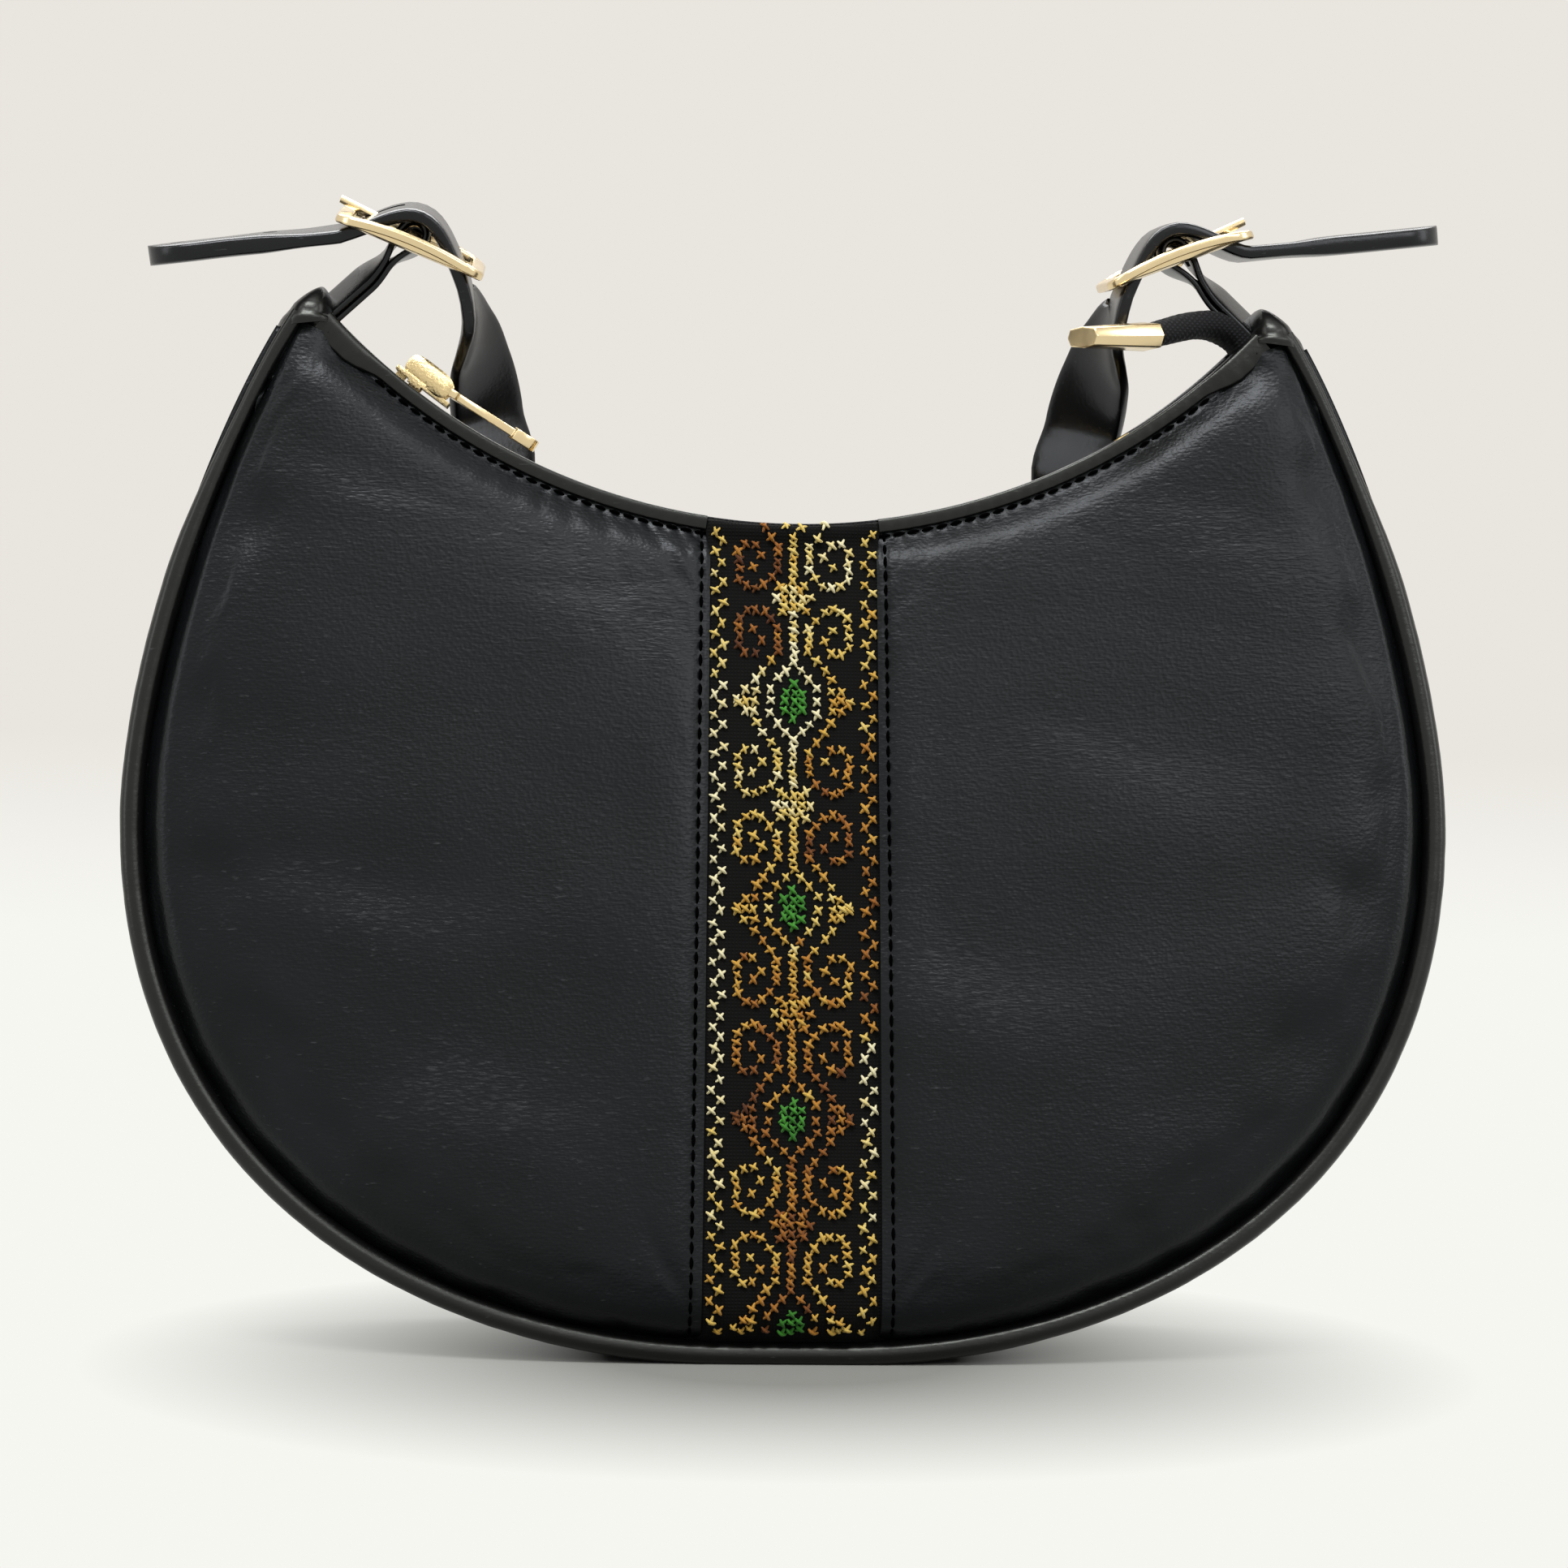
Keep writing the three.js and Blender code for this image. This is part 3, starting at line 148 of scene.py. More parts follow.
def baked(obj):
    """Turns an object's modifiers into plain geometry."""
    graph = bpy.context.evaluated_depsgraph_get()
    mesh = bpy.data.meshes.new_from_object(obj.evaluated_get(graph), depsgraph=graph)
    obj.modifiers.clear()
    obj.data = mesh
    return obj


def thickened(obj, thickness_mm):
    """Gives a sheet its thickness, inwards."""
    thick = obj.modifiers.new("thick", "SOLIDIFY")
    thick.thickness = thickness_mm * MM
    thick.offset = -1
    return baked(obj)


def wire(name, points, joined=True):
    """Points in m, joined to one line or loose, for a node tree to work on."""
    mesh = bpy.data.meshes.new(name)
    mesh.from_pydata(points, [(k, k + 1) for k in range(len(points) - 1)] if joined else [], [])
    return linked(name, mesh)


def tagged(obj, name, values):
    """Gives every point of a mesh a number, which trees and materials read by its name."""
    obj.data.attributes.new(name, "FLOAT", "POINT").data.foreach_set("value", values)


def hand_over(obj, finish, body, slot, *nodes):
    """Gives a piece its material and its body, and hides the CAD nodes it stands for. slot is not used.
    """
    if finish is not None:
        obj.data.materials.clear()
        obj.data.materials.append(finish)
    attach(obj, body)
    if nodes:
        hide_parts(*nodes)
    print(f"{obj.name}: {len(obj.data.polygons)} faces on {body}")
    return obj


def add(tree, kind, inputs=None, **settings):
    """Adds a node. An input's value is a number, a colour, or another node's output to link."""
    made = tree.nodes.new(kind)
    for key, value in settings.items():
        setattr(made, key, value)
    for key, value in (inputs or {}).items():
        if isinstance(value, bpy.types.NodeSocket):
            tree.links.new(value, made.inputs[key])
        else:
            made.inputs[key].default_value = value
    return made


def calc(tree, operation, *values):
    """The output of a math node."""
    return add(tree, "ShaderNodeMath", dict(enumerate(values)), operation=operation).outputs[0]


# %% [markdown]
# ## Materials
# The bag needs few: three finishes of black leather, black cloth, thread, plated metal, and what is
# inside. Each starts from what the real one is. Patterns are scaled from a size in millimetres: a
# noise of scale 1 / size repeats about once in that size.


# %% Colours and a bare material
def linear(code):
    """An sRGB hex colour as linear numbers."""
    shares = [int(code[k : k + 2], 16) / 255 for k in (1, 3, 5)]
    return [s / 12.92 if s <= 0.04045 else ((s + 0.055) / 1.055) ** 2.4 for s in shares] + [1]


def per(size_mm):
    return 1 / (size_mm * MM)


def material(name, **sockets):
    made = bpy.data.materials.new(name)
    made.use_nodes = True
    shader = made.node_tree.nodes["Principled BSDF"]
    for key, value in sockets.items():
        shader.inputs[key.replace("_", " ")].default_value = value
    return made, made.node_tree, shader


def spot_of(tree):
    """Where a point lies on the object."""
    return add(tree, "ShaderNodeTexCoord").outputs["Object"]


def mottle(tree, spot, size_mm, detail):
    """A soft noise with patches of a given size."""
    inputs = {"Vector": spot, "Scale": per(size_mm), "Detail": detail}
    return add(tree, "ShaderNodeTexNoise", inputs).outputs["Fac"]


def ranged(tree, value, low, high, to_low=0.0, to_high=1.0):
    """A value carried over from one range to another."""
    inputs = {"Value": value, "From Min": low, "From Max": high, "To Min": to_low, "To Max": to_high}
    return add(tree, "ShaderNodeMapRange", inputs).outputs["Result"]


def ramp(tree, factor, colours, first=0.0, last=1.0):
    """A ramp of colours, evenly spread between two places."""
    made = add(tree, "ShaderNodeValToRGB", {"Fac": factor})
    stops = made.color_ramp.elements
    while len(stops) < len(colours):
        stops.new(0.5)
    for k, colour in enumerate(colours):
        stops[k].position = lerp(first, last, k / (len(colours) - 1))
        stops[k].color = linear(colour)
    return made.outputs["Color"]


def bumped(tree, shader, height, strength, depth_mm):
    """Lets a pattern stand out of the surface."""
    inputs = {"Height": height, "Strength": strength, "Distance": depth_mm * MM}
    bump = add(tree, "ShaderNodeBump", inputs)
    tree.links.new(bump.outputs["Normal"], shader.inputs["Normal"])


# %% [markdown]
# ### Leather
# Black cow leather with a fine printed grain. What the eye gets is a soft grey sheen that breaks up
# over pebbles under a millimetre wide and over fine level wrinkles. Where the skin was bent the
# wrinkles are deeper. There the colour is also painted lighter, a painted sheen, with a few pale
# flecks that are painted glints on the wrinkles. An attribute, painted on the faces later, says where.
# The trim and the strap are the same skin with a smooth varnish, so they are blacker, and their
# highlights sharper.


# %% Leather
CLOUD_MM = 22  # slow change of tone and roughness over the skin
ROUGH_SWING = 0.05
WRINKLE_MM, WRINKLE_STRETCH = 0.5, 0.2  # height, and height over length: they lie level
# Painted glint: pale flecks of this colour stand in for light catching the level wrinkles.
PAINTED_GLINT = "#303132"  # bare fibre under the cracked finish


def leather(name, dark, light, shine, roughness, gloss, grain_mm, depth_mm):
    made, tree, shader = material(name, Specular_IOR_Level=gloss, Specular_Tint=linear(shine))
    spot = spot_of(tree)
    wear_and_sheen = add(tree, "ShaderNodeAttribute", attribute_name="wear_and_sheen").outputs["Fac"]
    cloud = mottle(tree, spot, CLOUD_MM, 4)
    # Random tone from the cloud, and a painted sheen: the colour is lighter where the skin was bent.
    tone_and_sheen = ramp(tree, calc(tree, "MULTIPLY_ADD", wear_and_sheen, 0.5, cloud), (dark, light), 0.35, 0.95)
    rubbed = ranged(tree, cloud, 0.3, 0.7, roughness + ROUGH_SWING, roughness - ROUGH_SWING)
    grain = {"Vector": spot, "Scale": per(grain_mm), "Smoothness": 0.5}
    pebble = add(tree, "ShaderNodeTexVoronoi", grain, feature="SMOOTH_F1").outputs["Distance"]
    lying = add(tree, "ShaderNodeMapping", {"Vector": spot, "Scale": (WRINKLE_STRETCH, 1, 1)})
    strokes = mottle(tree, lying.outputs["Vector"], WRINKLE_MM, 2)
    # Painted glints: where the wrinkle noise is high, and more where the skin was bent, the colour goes
    # to the pale glint colour.
    glint_mask = ranged(tree, strokes, calc(tree, "MULTIPLY_ADD", wear_and_sheen, -0.17, 0.69), 0.8)
    wrinkles = calc(tree, "MULTIPLY", strokes, calc(tree, "MULTIPLY_ADD", wear_and_sheen, 1.3, 0.7))
    bumped(tree, shader, calc(tree, "MULTIPLY_ADD", pebble, 0.5, wrinkles), 0.7, depth_mm)
    glinted = add(tree, "ShaderNodeMix", {0: glint_mask, 6: tone_and_sheen, 7: linear(PAINTED_GLINT)}, data_type="RGBA")
    tree.links.new(glinted.outputs[2], shader.inputs["Base Color"])
    tree.links.new(rubbed, shader.inputs["Roughness"])
    return made


BODY_LEATHER = leather("black grained leather", "#030404", "#131416", "#f4f9ff", 0.36, 0.2, 0.8, 0.15)
TRIM_LEATHER = leather("black pressed leather", "#060606", "#0e0f0e", "#fbfff8", 0.32, 0.36, 0.9, 0.05)
STRAP_LEATHER = leather(
    "black varnished strap leather", "#040404", "#0a0a0a", "#f6f9ff", 0.26, 0.32, 1.1, 0.03
)
print("leathers:", ", ".join(m.name for m in (BODY_LEATHER, TRIM_LEATHER, STRAP_LEATHER)))

# %% [markdown]
# ### Cloth and thread
# The strip and the zip tapes are plain-woven black cotton: two sets of threads, crossing. Two wave
# textures, one upright and one level, give the weave, drawn at 0.7 mm, coarser than the real
# 0.4 mm, so that it shows. The lining is a thin twill: the same waves at a slant.


# %% Cloth
WAVES_PER_UNIT = 3.18  # of a wave texture with scale 1


def cloth(name, colour, light, pitch_mm, slant, roughness, sheen):
    made, tree, shader = material(name, Roughness=roughness, Sheen_Weight=sheen, Sheen_Roughness=0.4)
    shader.inputs["Specular IOR Level"].default_value = 0.15
    turned = add(tree, "ShaderNodeMapping", {"Vector": spot_of(tree), "Rotation": (0, slant, 0)})
    scale = per(pitch_mm) / WAVES_PER_UNIT
    waves = {"Vector": turned.outputs["Vector"], "Scale": scale, "Distortion": 0.4}
    rows = [add(tree, "ShaderNodeTexWave", waves, bands_direction=way).outputs["Fac"] for way in "XZ"]
    weave = calc(tree, "MULTIPLY", *rows)
    tree.links.new(ramp(tree, weave, (colour, light)), shader.inputs["Base Color"])
    bumped(tree, shader, weave, 0.6, 0.3 * pitch_mm)
    return made


STRIP_CLOTH = cloth("black evenweave cotton", "#030303", "#0b0a09", 0.7, 0.0, 0.95, 0.0)
TAPE_CLOTH = cloth("black zip tape", "#08080a", "#1e1f22", 0.8, math.radians(45), 0.8, 0.12)
LINING_CLOTH = cloth("black twill lining", "#0d0d10", "#24242a", 0.5, math.radians(30), 0.6, 0.1)
print("cloths:", STRIP_CLOTH.name, TAPE_CLOTH.name, LINING_CLOTH.name)

# %% [markdown]
# Embroidery cotton is soft and a little shiny. Here it was dyed in steps from brown over copper and
# gold to cream, so its colour drifts from stitch to stitch. Each stitch carries a number, its tone,
# and the material turns it into a colour. The sewing thread on the leather is plain black and dull,
# darker than the lit leather round it, so its stitches read as black dashes.

# %% Thread
THREAD_TONES = ("#4c2912", "#84501f", "#a9762b", "#bd9a45", "#c8b163", "#d5cda6")
STRAND_MM, STRAND_DEPTH = 0.35, 0.12


def thread(name, colours, sheen):
    made, tree, shader = material(name, Roughness=0.7, Sheen_Weight=sheen, Specular_IOR_Level=sheen)
    strand = mottle(tree, spot_of(tree), STRAND_MM, 2)
    tone = add(tree, "ShaderNodeAttribute", attribute_name="tone").outputs["Fac"]
    drift = calc(tree, "MULTIPLY_ADD", strand, 0.3, tone)
    tree.links.new(ramp(tree, drift, colours, 0.15), shader.inputs["Base Color"])
    bumped(tree, shader, strand, 0.6, STRAND_DEPTH)
    return made


GOLD_THREAD = thread("variegated embroidery cotton", THREAD_TONES, 0.1)
GREEN_THREAD = thread("green embroidery cotton", ("#12480f", "#4f9c37"), 0.1)
SEWING_THREAD = thread("black sewing thread", ("#030303", "#060607"), 0.0)
print("threads:", GOLD_THREAD.name, GREEN_THREAD.name, SEWING_THREAD.name)

# %% [markdown]
# ### Metal and hidden materials
# The buckles, pull and cap are cast zinc under a thin plating of pale champagne gold: a warm mirror
# with faint rubbing marks. The slider is plated too, over a sandblasted face that glitters. The teeth
# are plain brass. Padding foam and the base board are never seen on a closed bag, but are finished
# for a view inside.


# %% Metal, foam and board
def plated(name, colour, roughness, grain_mm, depth_mm):
    made, tree, shader = material(name, Metallic=1.0, Base_Color=linear(colour))
    rubbed = mottle(tree, spot_of(tree), grain_mm, 4)
    wear = ranged(tree, rubbed, 0, 1, roughness - 0.06, roughness + 0.1)
    tree.links.new(wear, shader.inputs["Roughness"])
    bumped(tree, shader, rubbed, 0.6, depth_mm)
    return made


def crumb(name, dark, light, size_mm, roughness):
    made, tree, shader = material(name, Roughness=roughness)
    cells = mottle(tree, spot_of(tree), size_mm, 3)
    tree.links.new(ramp(tree, cells, (dark, light), 0.35, 0.6), shader.inputs["Base Color"])
    bumped(tree, shader, cells, 0.4, 0.3 * size_mm)
    return made


CHAMPAGNE = plated("champagne gold plating", "#e3cda2", 0.2, 3, 0.03)
BLASTED = plated("sandblasted gold plating", "#dcc594", 0.26, 0.45, 0.2)
BRASS = plated("brass teeth", "#cdb070", 0.3, 2, 0.05)
FOAM = crumb("open-cell foam", "#b9b5aa", "#e2dfd6", 0.8, 0.95)
BOARD = crumb("fibre board", "#75706a", "#a39d94", 1.5, 0.9)
print("metals:", CHAMPAGNE.name, BLASTED.name, BRASS.name)

# %% [markdown]
# ## Curves of the bag
# Everything soft follows three curves: the seam along the piping, which rises from a flat base over
# the flanks to the horns, the mouth, which is one arc, and the faces between the two, which stand
# puffed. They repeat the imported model's formulas, so that the new pieces lie where its solids are.

# %% Seam
SEAM_POINTS = ((0, 1.9), (10, 1.9), (132.6, 108.49), (101.8, 210.5))
BOTTOM_HANDLES = ((70.6, 1.9), (132.6, 34.49))
TOP_HANDLES = ((132.6, 139.99), (116.55, 187.53))
BASE_HALF, HORN_HALF, TAPER_START = 27.0, 9.0, 0.12


def smoothstep(value, low, high):
    t = np.clip((value - low) / (high - low), 0, 1)
    return t * t * (3 - 2 * t)


def bezier(points, count=500):
    a, b, c, d = (np.array(p, float) for p in points)
    t = np.linspace(0, 1, count)[1:, None]
    return a * (1 - t) ** 3 + 3 * b * t * (1 - t) ** 2 + 3 * c * t * t * (1 - t) + d * t**3


base, base_end, widest, horn = SEAM_POINTS
half_seam = np.concatenate(
    [
        np.linspace(base, base_end, 60),
        bezier((base_end, *BOTTOM_HANDLES, widest)),
        bezier((widest, *TOP_HANDLES, horn)),
    ]
)
seam_run = np.concatenate([[0], np.cumsum(np.linalg.norm(np.diff(half_seam, axis=0), axis=1))])
seam_share = seam_run / seam_run[-1]
WIDENING = slice(560)  # the seam's points up to where it is widest
seam_along = np.gradient(half_seam, seam_run, axis=0)


def seam(s, inset=0.0):
    """x and z of the seam, s from -1 at the left horn over 0 at the base to 1, moved inwards."""
    share = np.abs(s)
    x, z = (np.interp(share, seam_share, half_seam[:, k]) for k in (0, 1))
    tx, tz = (np.interp(share, seam_share, seam_along[:, k]) for k in (0, 1))
    return np.where(np.asarray(s) < 0, -1, 1) * (x - tz * inset), z + tx * inset


def gusset_half(s):
    return lerp(BASE_HALF, HORN_HALF, smoothstep(np.abs(s), TAPER_START, 1))


print(f"half the seam is {seam_run[-1]:.1f} mm long")

# %% Mouth and faces
MOUTH_RADIUS, MOUTH_CENTRE, MOUTH_HALF_ANGLE = 130.0, 299.4, 46.31
MOUTH_HALF = 10.0
STRIP_HALF = 17.5
PANEL_DROP, PANEL_INSET = 3.9, 2.7
PUFF, PUFF_RISE, PUFF_FALL, PUFF_FADE = 8.0, 2.2, 18, 4
LOOSE_FALL = 10  # for what lies on or under a face and isn't sewn into its seam
STRIP_SHARE = float(np.interp(STRIP_HALF, half_seam[WIDENING, 0], seam_share[WIDENING]))
STRIP_ANGLE = math.degrees(math.asin(STRIP_HALF / MOUTH_RADIUS))


def mouth(angle, lift=0.0):
    """x and z over the mouth arc, angle in degrees from its middle."""
    turn = np.radians(angle)
    radius = MOUTH_RADIUS - lift
    return radius * np.sin(turn), MOUTH_CENTRE - radius * np.cos(turn)


def mouth_angle(s):
    share = np.abs(s)
    plumb = np.degrees(np.arcsin(np.minimum(1, np.abs(seam(s)[0]) / MOUTH_RADIUS)))
    step = (share - STRIP_SHARE) / (1 - STRIP_SHARE)
    spread = lerp(STRIP_ANGLE, MOUTH_HALF_ANGLE, step)
    return np.where(np.asarray(s) < 0, -1, 1) * np.where(share <= STRIP_SHARE, plumb, spread)


def face(s, v, fall=PUFF_FALL):
    """x, depth and z of a face: v runs from the mouth, 0, to the seam, 1."""
    head_x, head_z = mouth(mouth_angle(s), -PANEL_DROP)
    foot_x, foot_z = seam(s, PANEL_INSET)
    crown = 1 - np.maximum(1 - v, 0) ** PUFF_RISE
    crown = crown * (1 - np.minimum(np.abs(v), 1) ** fall) * (1 - np.abs(s) ** PUFF_FADE)
    depth = lerp(MOUTH_HALF, gusset_half(s), v) + PUFF * crown
    return lerp(head_x, foot_x, v), depth, lerp(head_z, foot_z, v)


def face_height(s):
    """Length of a line down the face, from the mouth to the seam."""
    top, foot = mouth(mouth_angle(s), -PANEL_DROP), seam(s, PANEL_INSET)
    return np.hypot(foot[0] - top[0], foot[1] - top[1])


print(f"mouth {mouth(0)[1]:.1f} mm over the floor at its middle, strip to share {STRIP_SHARE:.4f}")

# %% [markdown]
# ## Padded leather faces
# A face is leather over foam, sewn in all round. It could be drawn as a smooth bulge, but real
# leather swells unevenly between its seams. So each sheet starts from the face's curves, is pinned
# along its sewn edges, and a short cloth simulation blows it out a little. A cap keeps it in place.
# The rolled rims at the seams and the long shallow creases come after, as moves along the depth.

# %% Cloth simulation of a sewn-in sheet
SIM_FRAMES = 20
PRESSURE = 4.0
SPARE_LEATHER = -0.003  # cut larger than the frame, so that it can wave
SWELL_CAP = 1.2
GIVE = 0.3  # share of the inward moves that the foam lets through


def swollen(obj, sewn, side):
    """Lets a pinned sheet swell, with no point moving further than the cap."""
    group = obj.vertex_groups.new(name="sewn")
    group.add([int(k) for k in np.flatnonzero(sewn)], 1.0, "REPLACE")
    swell = obj.modifiers.new("swell", "CLOTH")
    skin = swell.settings
    skin.quality = 8
    skin.mass = 0.002
    skin.tension_stiffness = skin.compression_stiffness = 6
    skin.shear_stiffness = 3
    skin.bending_stiffness = 0.4
    skin.vertex_group_mass = "sewn"
    skin.use_pressure = True
    skin.uniform_pressure_force = PRESSURE
    skin.shrink_min = SPARE_LEATHER
    skin.effector_weights.gravity = 0
    swell.point_cache.frame_end = SIM_FRAMES
    for step in range(1, SIM_FRAMES + 1):
        scene.frame_set(step)
    graph = bpy.context.evaluated_depsgraph_get()
    count = len(obj.data.vertices)
    after, before = np.empty(count * 3), np.empty(count * 3)
    obj.evaluated_get(graph).data.vertices.foreach_get("co", after)
    obj.data.vertices.foreach_get("co", before)
    move = (after - before).reshape(-1, 3)
    move[:, 1] *= np.where(move[:, 1] * side < 0, GIVE, 1)
    length = np.linalg.norm(move, axis=1, keepdims=True)
    cap = SWELL_CAP * MM
    shorter = cap * np.tanh(length / cap) / np.maximum(length, 1e-9)
    limited = move * np.where(length > 1e-9, shorter, 1)
    obj.modifiers.remove(swell)
    obj.vertex_groups.clear()
    obj.data.vertices.foreach_set("co", before + limited.reshape(-1))
    obj.data.update()
    scene.frame_set(1)
    print(f"{obj.name} swelled {length.max() / MM:.1f} mm, kept {np.abs(limited).max() / MM:.1f} mm")


# %% Rims and creases
RIM_DROP, RIM_REACH = 2.0, 3.3  # the leather is pulled in along the mouth, and over what width
SEAM_DROP, SEAM_REACH = 0.8, 1.6
LOW_FACE = 20  # where a face is lower than this, at the horns, its rims get shallower
FOLD_DROP, FOLD_ROUND = 0.5, 0.9
FOLD_EASE = 30  # width over which the leather follows its fold
STITCH_PITCH = 3.0
STITCH_LINE = 2.3  # topstitch beside the strip
FOLD_PLACE = {-1: (-16.3, -17.0), 1: (16.5, 19.2)}  # x of the left and right fold, at mouth and base
STITCH_DENT, DENT_REACH = 0.3, 0.8
PUCKER, PUCKER_REACH = 0.4, 1.3
CREASE_DEPTH, CREASE_MARGIN = 0.24, 12  # and the width beside rims and folds where they fade out
WAVE_DEPTH, WAVE_SIZE = 0.6, (38, 26)  # slow waves, longer than high
# Bent places get deeper creases, and the leather paints a lighter sheen and pale glints there.
WEAR_AND_SHEEN_BANDS = (  # x, z, half length and half height in mm of places where the skin was bent
    (-90, 175, 14, 3.5),
    (-88, 92, 26, 6),
    (-34, 151, 20, 9),
    (-58, 52, 24, 9),
    (68, 122, 25, 6),
    (36, 77, 22, 8),
    (92, 166, 18, 8),
)


def wear_and_sheen_at(x, z, mirror):
    """How much the skin was bent at a point, 0 to 1: strong in a few bands, faint in clouds. It sets
    deeper wrinkles, and a painted sheen and glints in the colour.
    """
    level = 0.5 * max(0.0, noise.noise(Vector((x / 48, z / 26, 4.0))))
    for at_x, at_z, half_length, half_height in WEAR_AND_SHEEN_BANDS:
        along = x * mirror - at_x
        off = z - at_z + 0.12 * along + 1.6 * math.sin(along / 8)
        level += math.exp(-((along / half_length) ** 2) - (off / half_height) ** 2)
    return min(level, 1.0)


def crease(x, z, seed):
    """Thin level lines, wavy, 0 between them and 1 on them."""
    at = Vector((x / 30, z / 6 + 0.12 * math.sin(x / 12), seed))
    return max(0.0, 1 - abs(noise.noise(at)) * 4)


def fold_at(hand, z):
    """x of a fold beside the strip at a height."""
    return lerp(*FOLD_PLACE[hand], np.clip(1 - z / mouth(0)[1], 0, 1))


def rimmed(obj, s, v, side, fold, seed):
    """Moves a face's points in depth: rims at mouth and seam, the fold at the strip, creases."""
    height = face_height(s)
    from_mouth, from_seam = np.maximum(v * height, 0), np.maximum((1 - v) * height, 0)
    points = np.empty(len(obj.data.vertices) * 3)
    obj.data.vertices.foreach_get("co", points)
    points = points.reshape(-1, 3) / MM
    drop = RIM_DROP * np.exp(-((from_mouth / RIM_REACH) ** 2))
    drop += SEAM_DROP * np.exp(-((from_seam / SEAM_REACH) ** 2))
    drop *= np.clip(height / LOW_FACE, 0.3, 1)
    run = np.radians(mouth_angle(s)) * MOUTH_RADIUS
    pull = 0.5 + 0.5 * np.cos(2 * math.pi * run / STITCH_PITCH)
    drop += PUCKER * pull * np.exp(-((from_mouth / PUCKER_REACH) ** 2))
    if fold:
        beside = np.maximum(np.abs(points[:, 0]) - STRIP_HALF, 0)
        drop += FOLD_DROP * np.exp(-((beside / FOLD_ROUND) ** 2))
        drop += STITCH_DENT * np.exp(-(((beside - STITCH_LINE) / DENT_REACH) ** 2))
        hand = 1 if points[0, 0] + points[-1, 0] > 0 else -1
        aside = fold_at(hand, points[:, 2]) - hand * STRIP_HALF
        points[:, 0] += aside * np.exp(-((beside / FOLD_EASE) ** 2))
    inside = np.clip(np.minimum(from_mouth, from_seam) / CREASE_MARGIN, 0, 1)
    if fold:
        inside *= np.clip(beside / CREASE_MARGIN, 0, 1)
    wear_and_sheen = np.array([wear_and_sheen_at(x, z, -side) for x, _, z in points])
    lines = np.array([crease(x, z, seed) for x, _, z in points])
    wide, high = WAVE_SIZE
    slow = np.array([noise.noise(Vector((x / wide, z / high, seed + 9))) for x, _, z in points])
    drop += inside * (CREASE_DEPTH * lines * (0.15 + wear_and_sheen) + WAVE_DEPTH * slow)
    points[:, 1] -= side * drop
    obj.data.vertices.foreach_set("co", (points * MM).reshape(-1))
    # The same number tells the leather where to paint its lighter sheen and glints.
    tagged(obj, "wear_and_sheen", wear_and_sheen)
    obj.data.update()


# %% Build the three leather faces
LEATHER_THICKNESS = 1.2
SEWN_FALL = 48  # the foam is trimmed square, so a face stays full nearly to its seam
FACE_ROWS, FACE_COLUMNS = 84, 96
MOUTH_TUCK, SEAM_TUCK = 1.6, 1.2  # leather that goes on under the roll and behind the piping
FRONT, BACK = -1, 1


def leather_face(name, side, shares, fold, seed):
    t = np.linspace(0, 1, FACE_ROWS)
    crowded = t - 0.72 * np.sin(2 * math.pi * t) / (2 * math.pi)  # rows stand closer at both rims
    s, share = np.meshgrid(shares, crowded)
    height = face_height(s)
    v = lerp(-MOUTH_TUCK / height, 1 + SEAM_TUCK / height, share)
    x, depth, z = face(s, v, SEWN_FALL)
    obj = grid_piece(name, np.stack([x, side * depth, z], -1), (0, side, 0))
    edge = np.zeros(s.shape, bool)
    edge[[0, 1, -2, -1]] = True
    edge[:, [0, 1, -2, -1]] = True
    swollen(obj, edge.ravel(), side)
    rimmed(obj, s.ravel(), v.ravel(), side, fold, seed)
    fine = obj.modifiers.new("fine", "SUBSURF")
    fine.levels = fine.render_levels = 1
    thickened(obj, LEATHER_THICKNESS).data.set_sharp_from_angle(angle=math.radians(55))
    return obj


PANEL_END = 0.996
steps = np.linspace(0, 1, FACE_COLUMNS)
from_strip = lerp(STRIP_SHARE + 0.0005, PANEL_END, steps * lerp(0.35, 1, steps))  # closer at the fold
front_left = leather_face("front_leather_left", FRONT, -from_strip[::-1], True, 3.0)
front_right = leather_face("front_leather_right", FRONT, from_strip, True, 11.0)
whole = np.linspace(-PANEL_END, PANEL_END, 2 * FACE_COLUMNS - 20)
back_face = leather_face("back_leather", BACK, whole, False, 19.0)
padded_faces = {
    "front_panel_left": front_left,
    "front_panel_right": front_right,
    "back_panel": back_face,
}
for node, padded_face in padded_faces.items():
    hand_over(padded_face, BODY_LEATHER, "bag", "black_leather", node)

# %% [markdown]
# ## Strip cloth
# The strip is one length of black evenweave. It is turned over the mouth's edge, lies a little deeper
# than the leather, and goes on under both folds, so no gap shows.

# %% Strip cloth
STRIP_RECESS, STRIP_TUCK = 0.95, 3.4
STRIP_CLOTH_THICKNESS = 0.8
TURNED_OVER = (  # depth and lift of the cloth's way over the mouth's edge
    (7.7, -1.8),
    (7.8, -1.0),
    (8.3, -0.55),
    (9.0, -0.5),
    (9.6, -0.9),
    (9.9, -1.6),
    (9.9, -2.4),
    (9.6, -3.1),
)

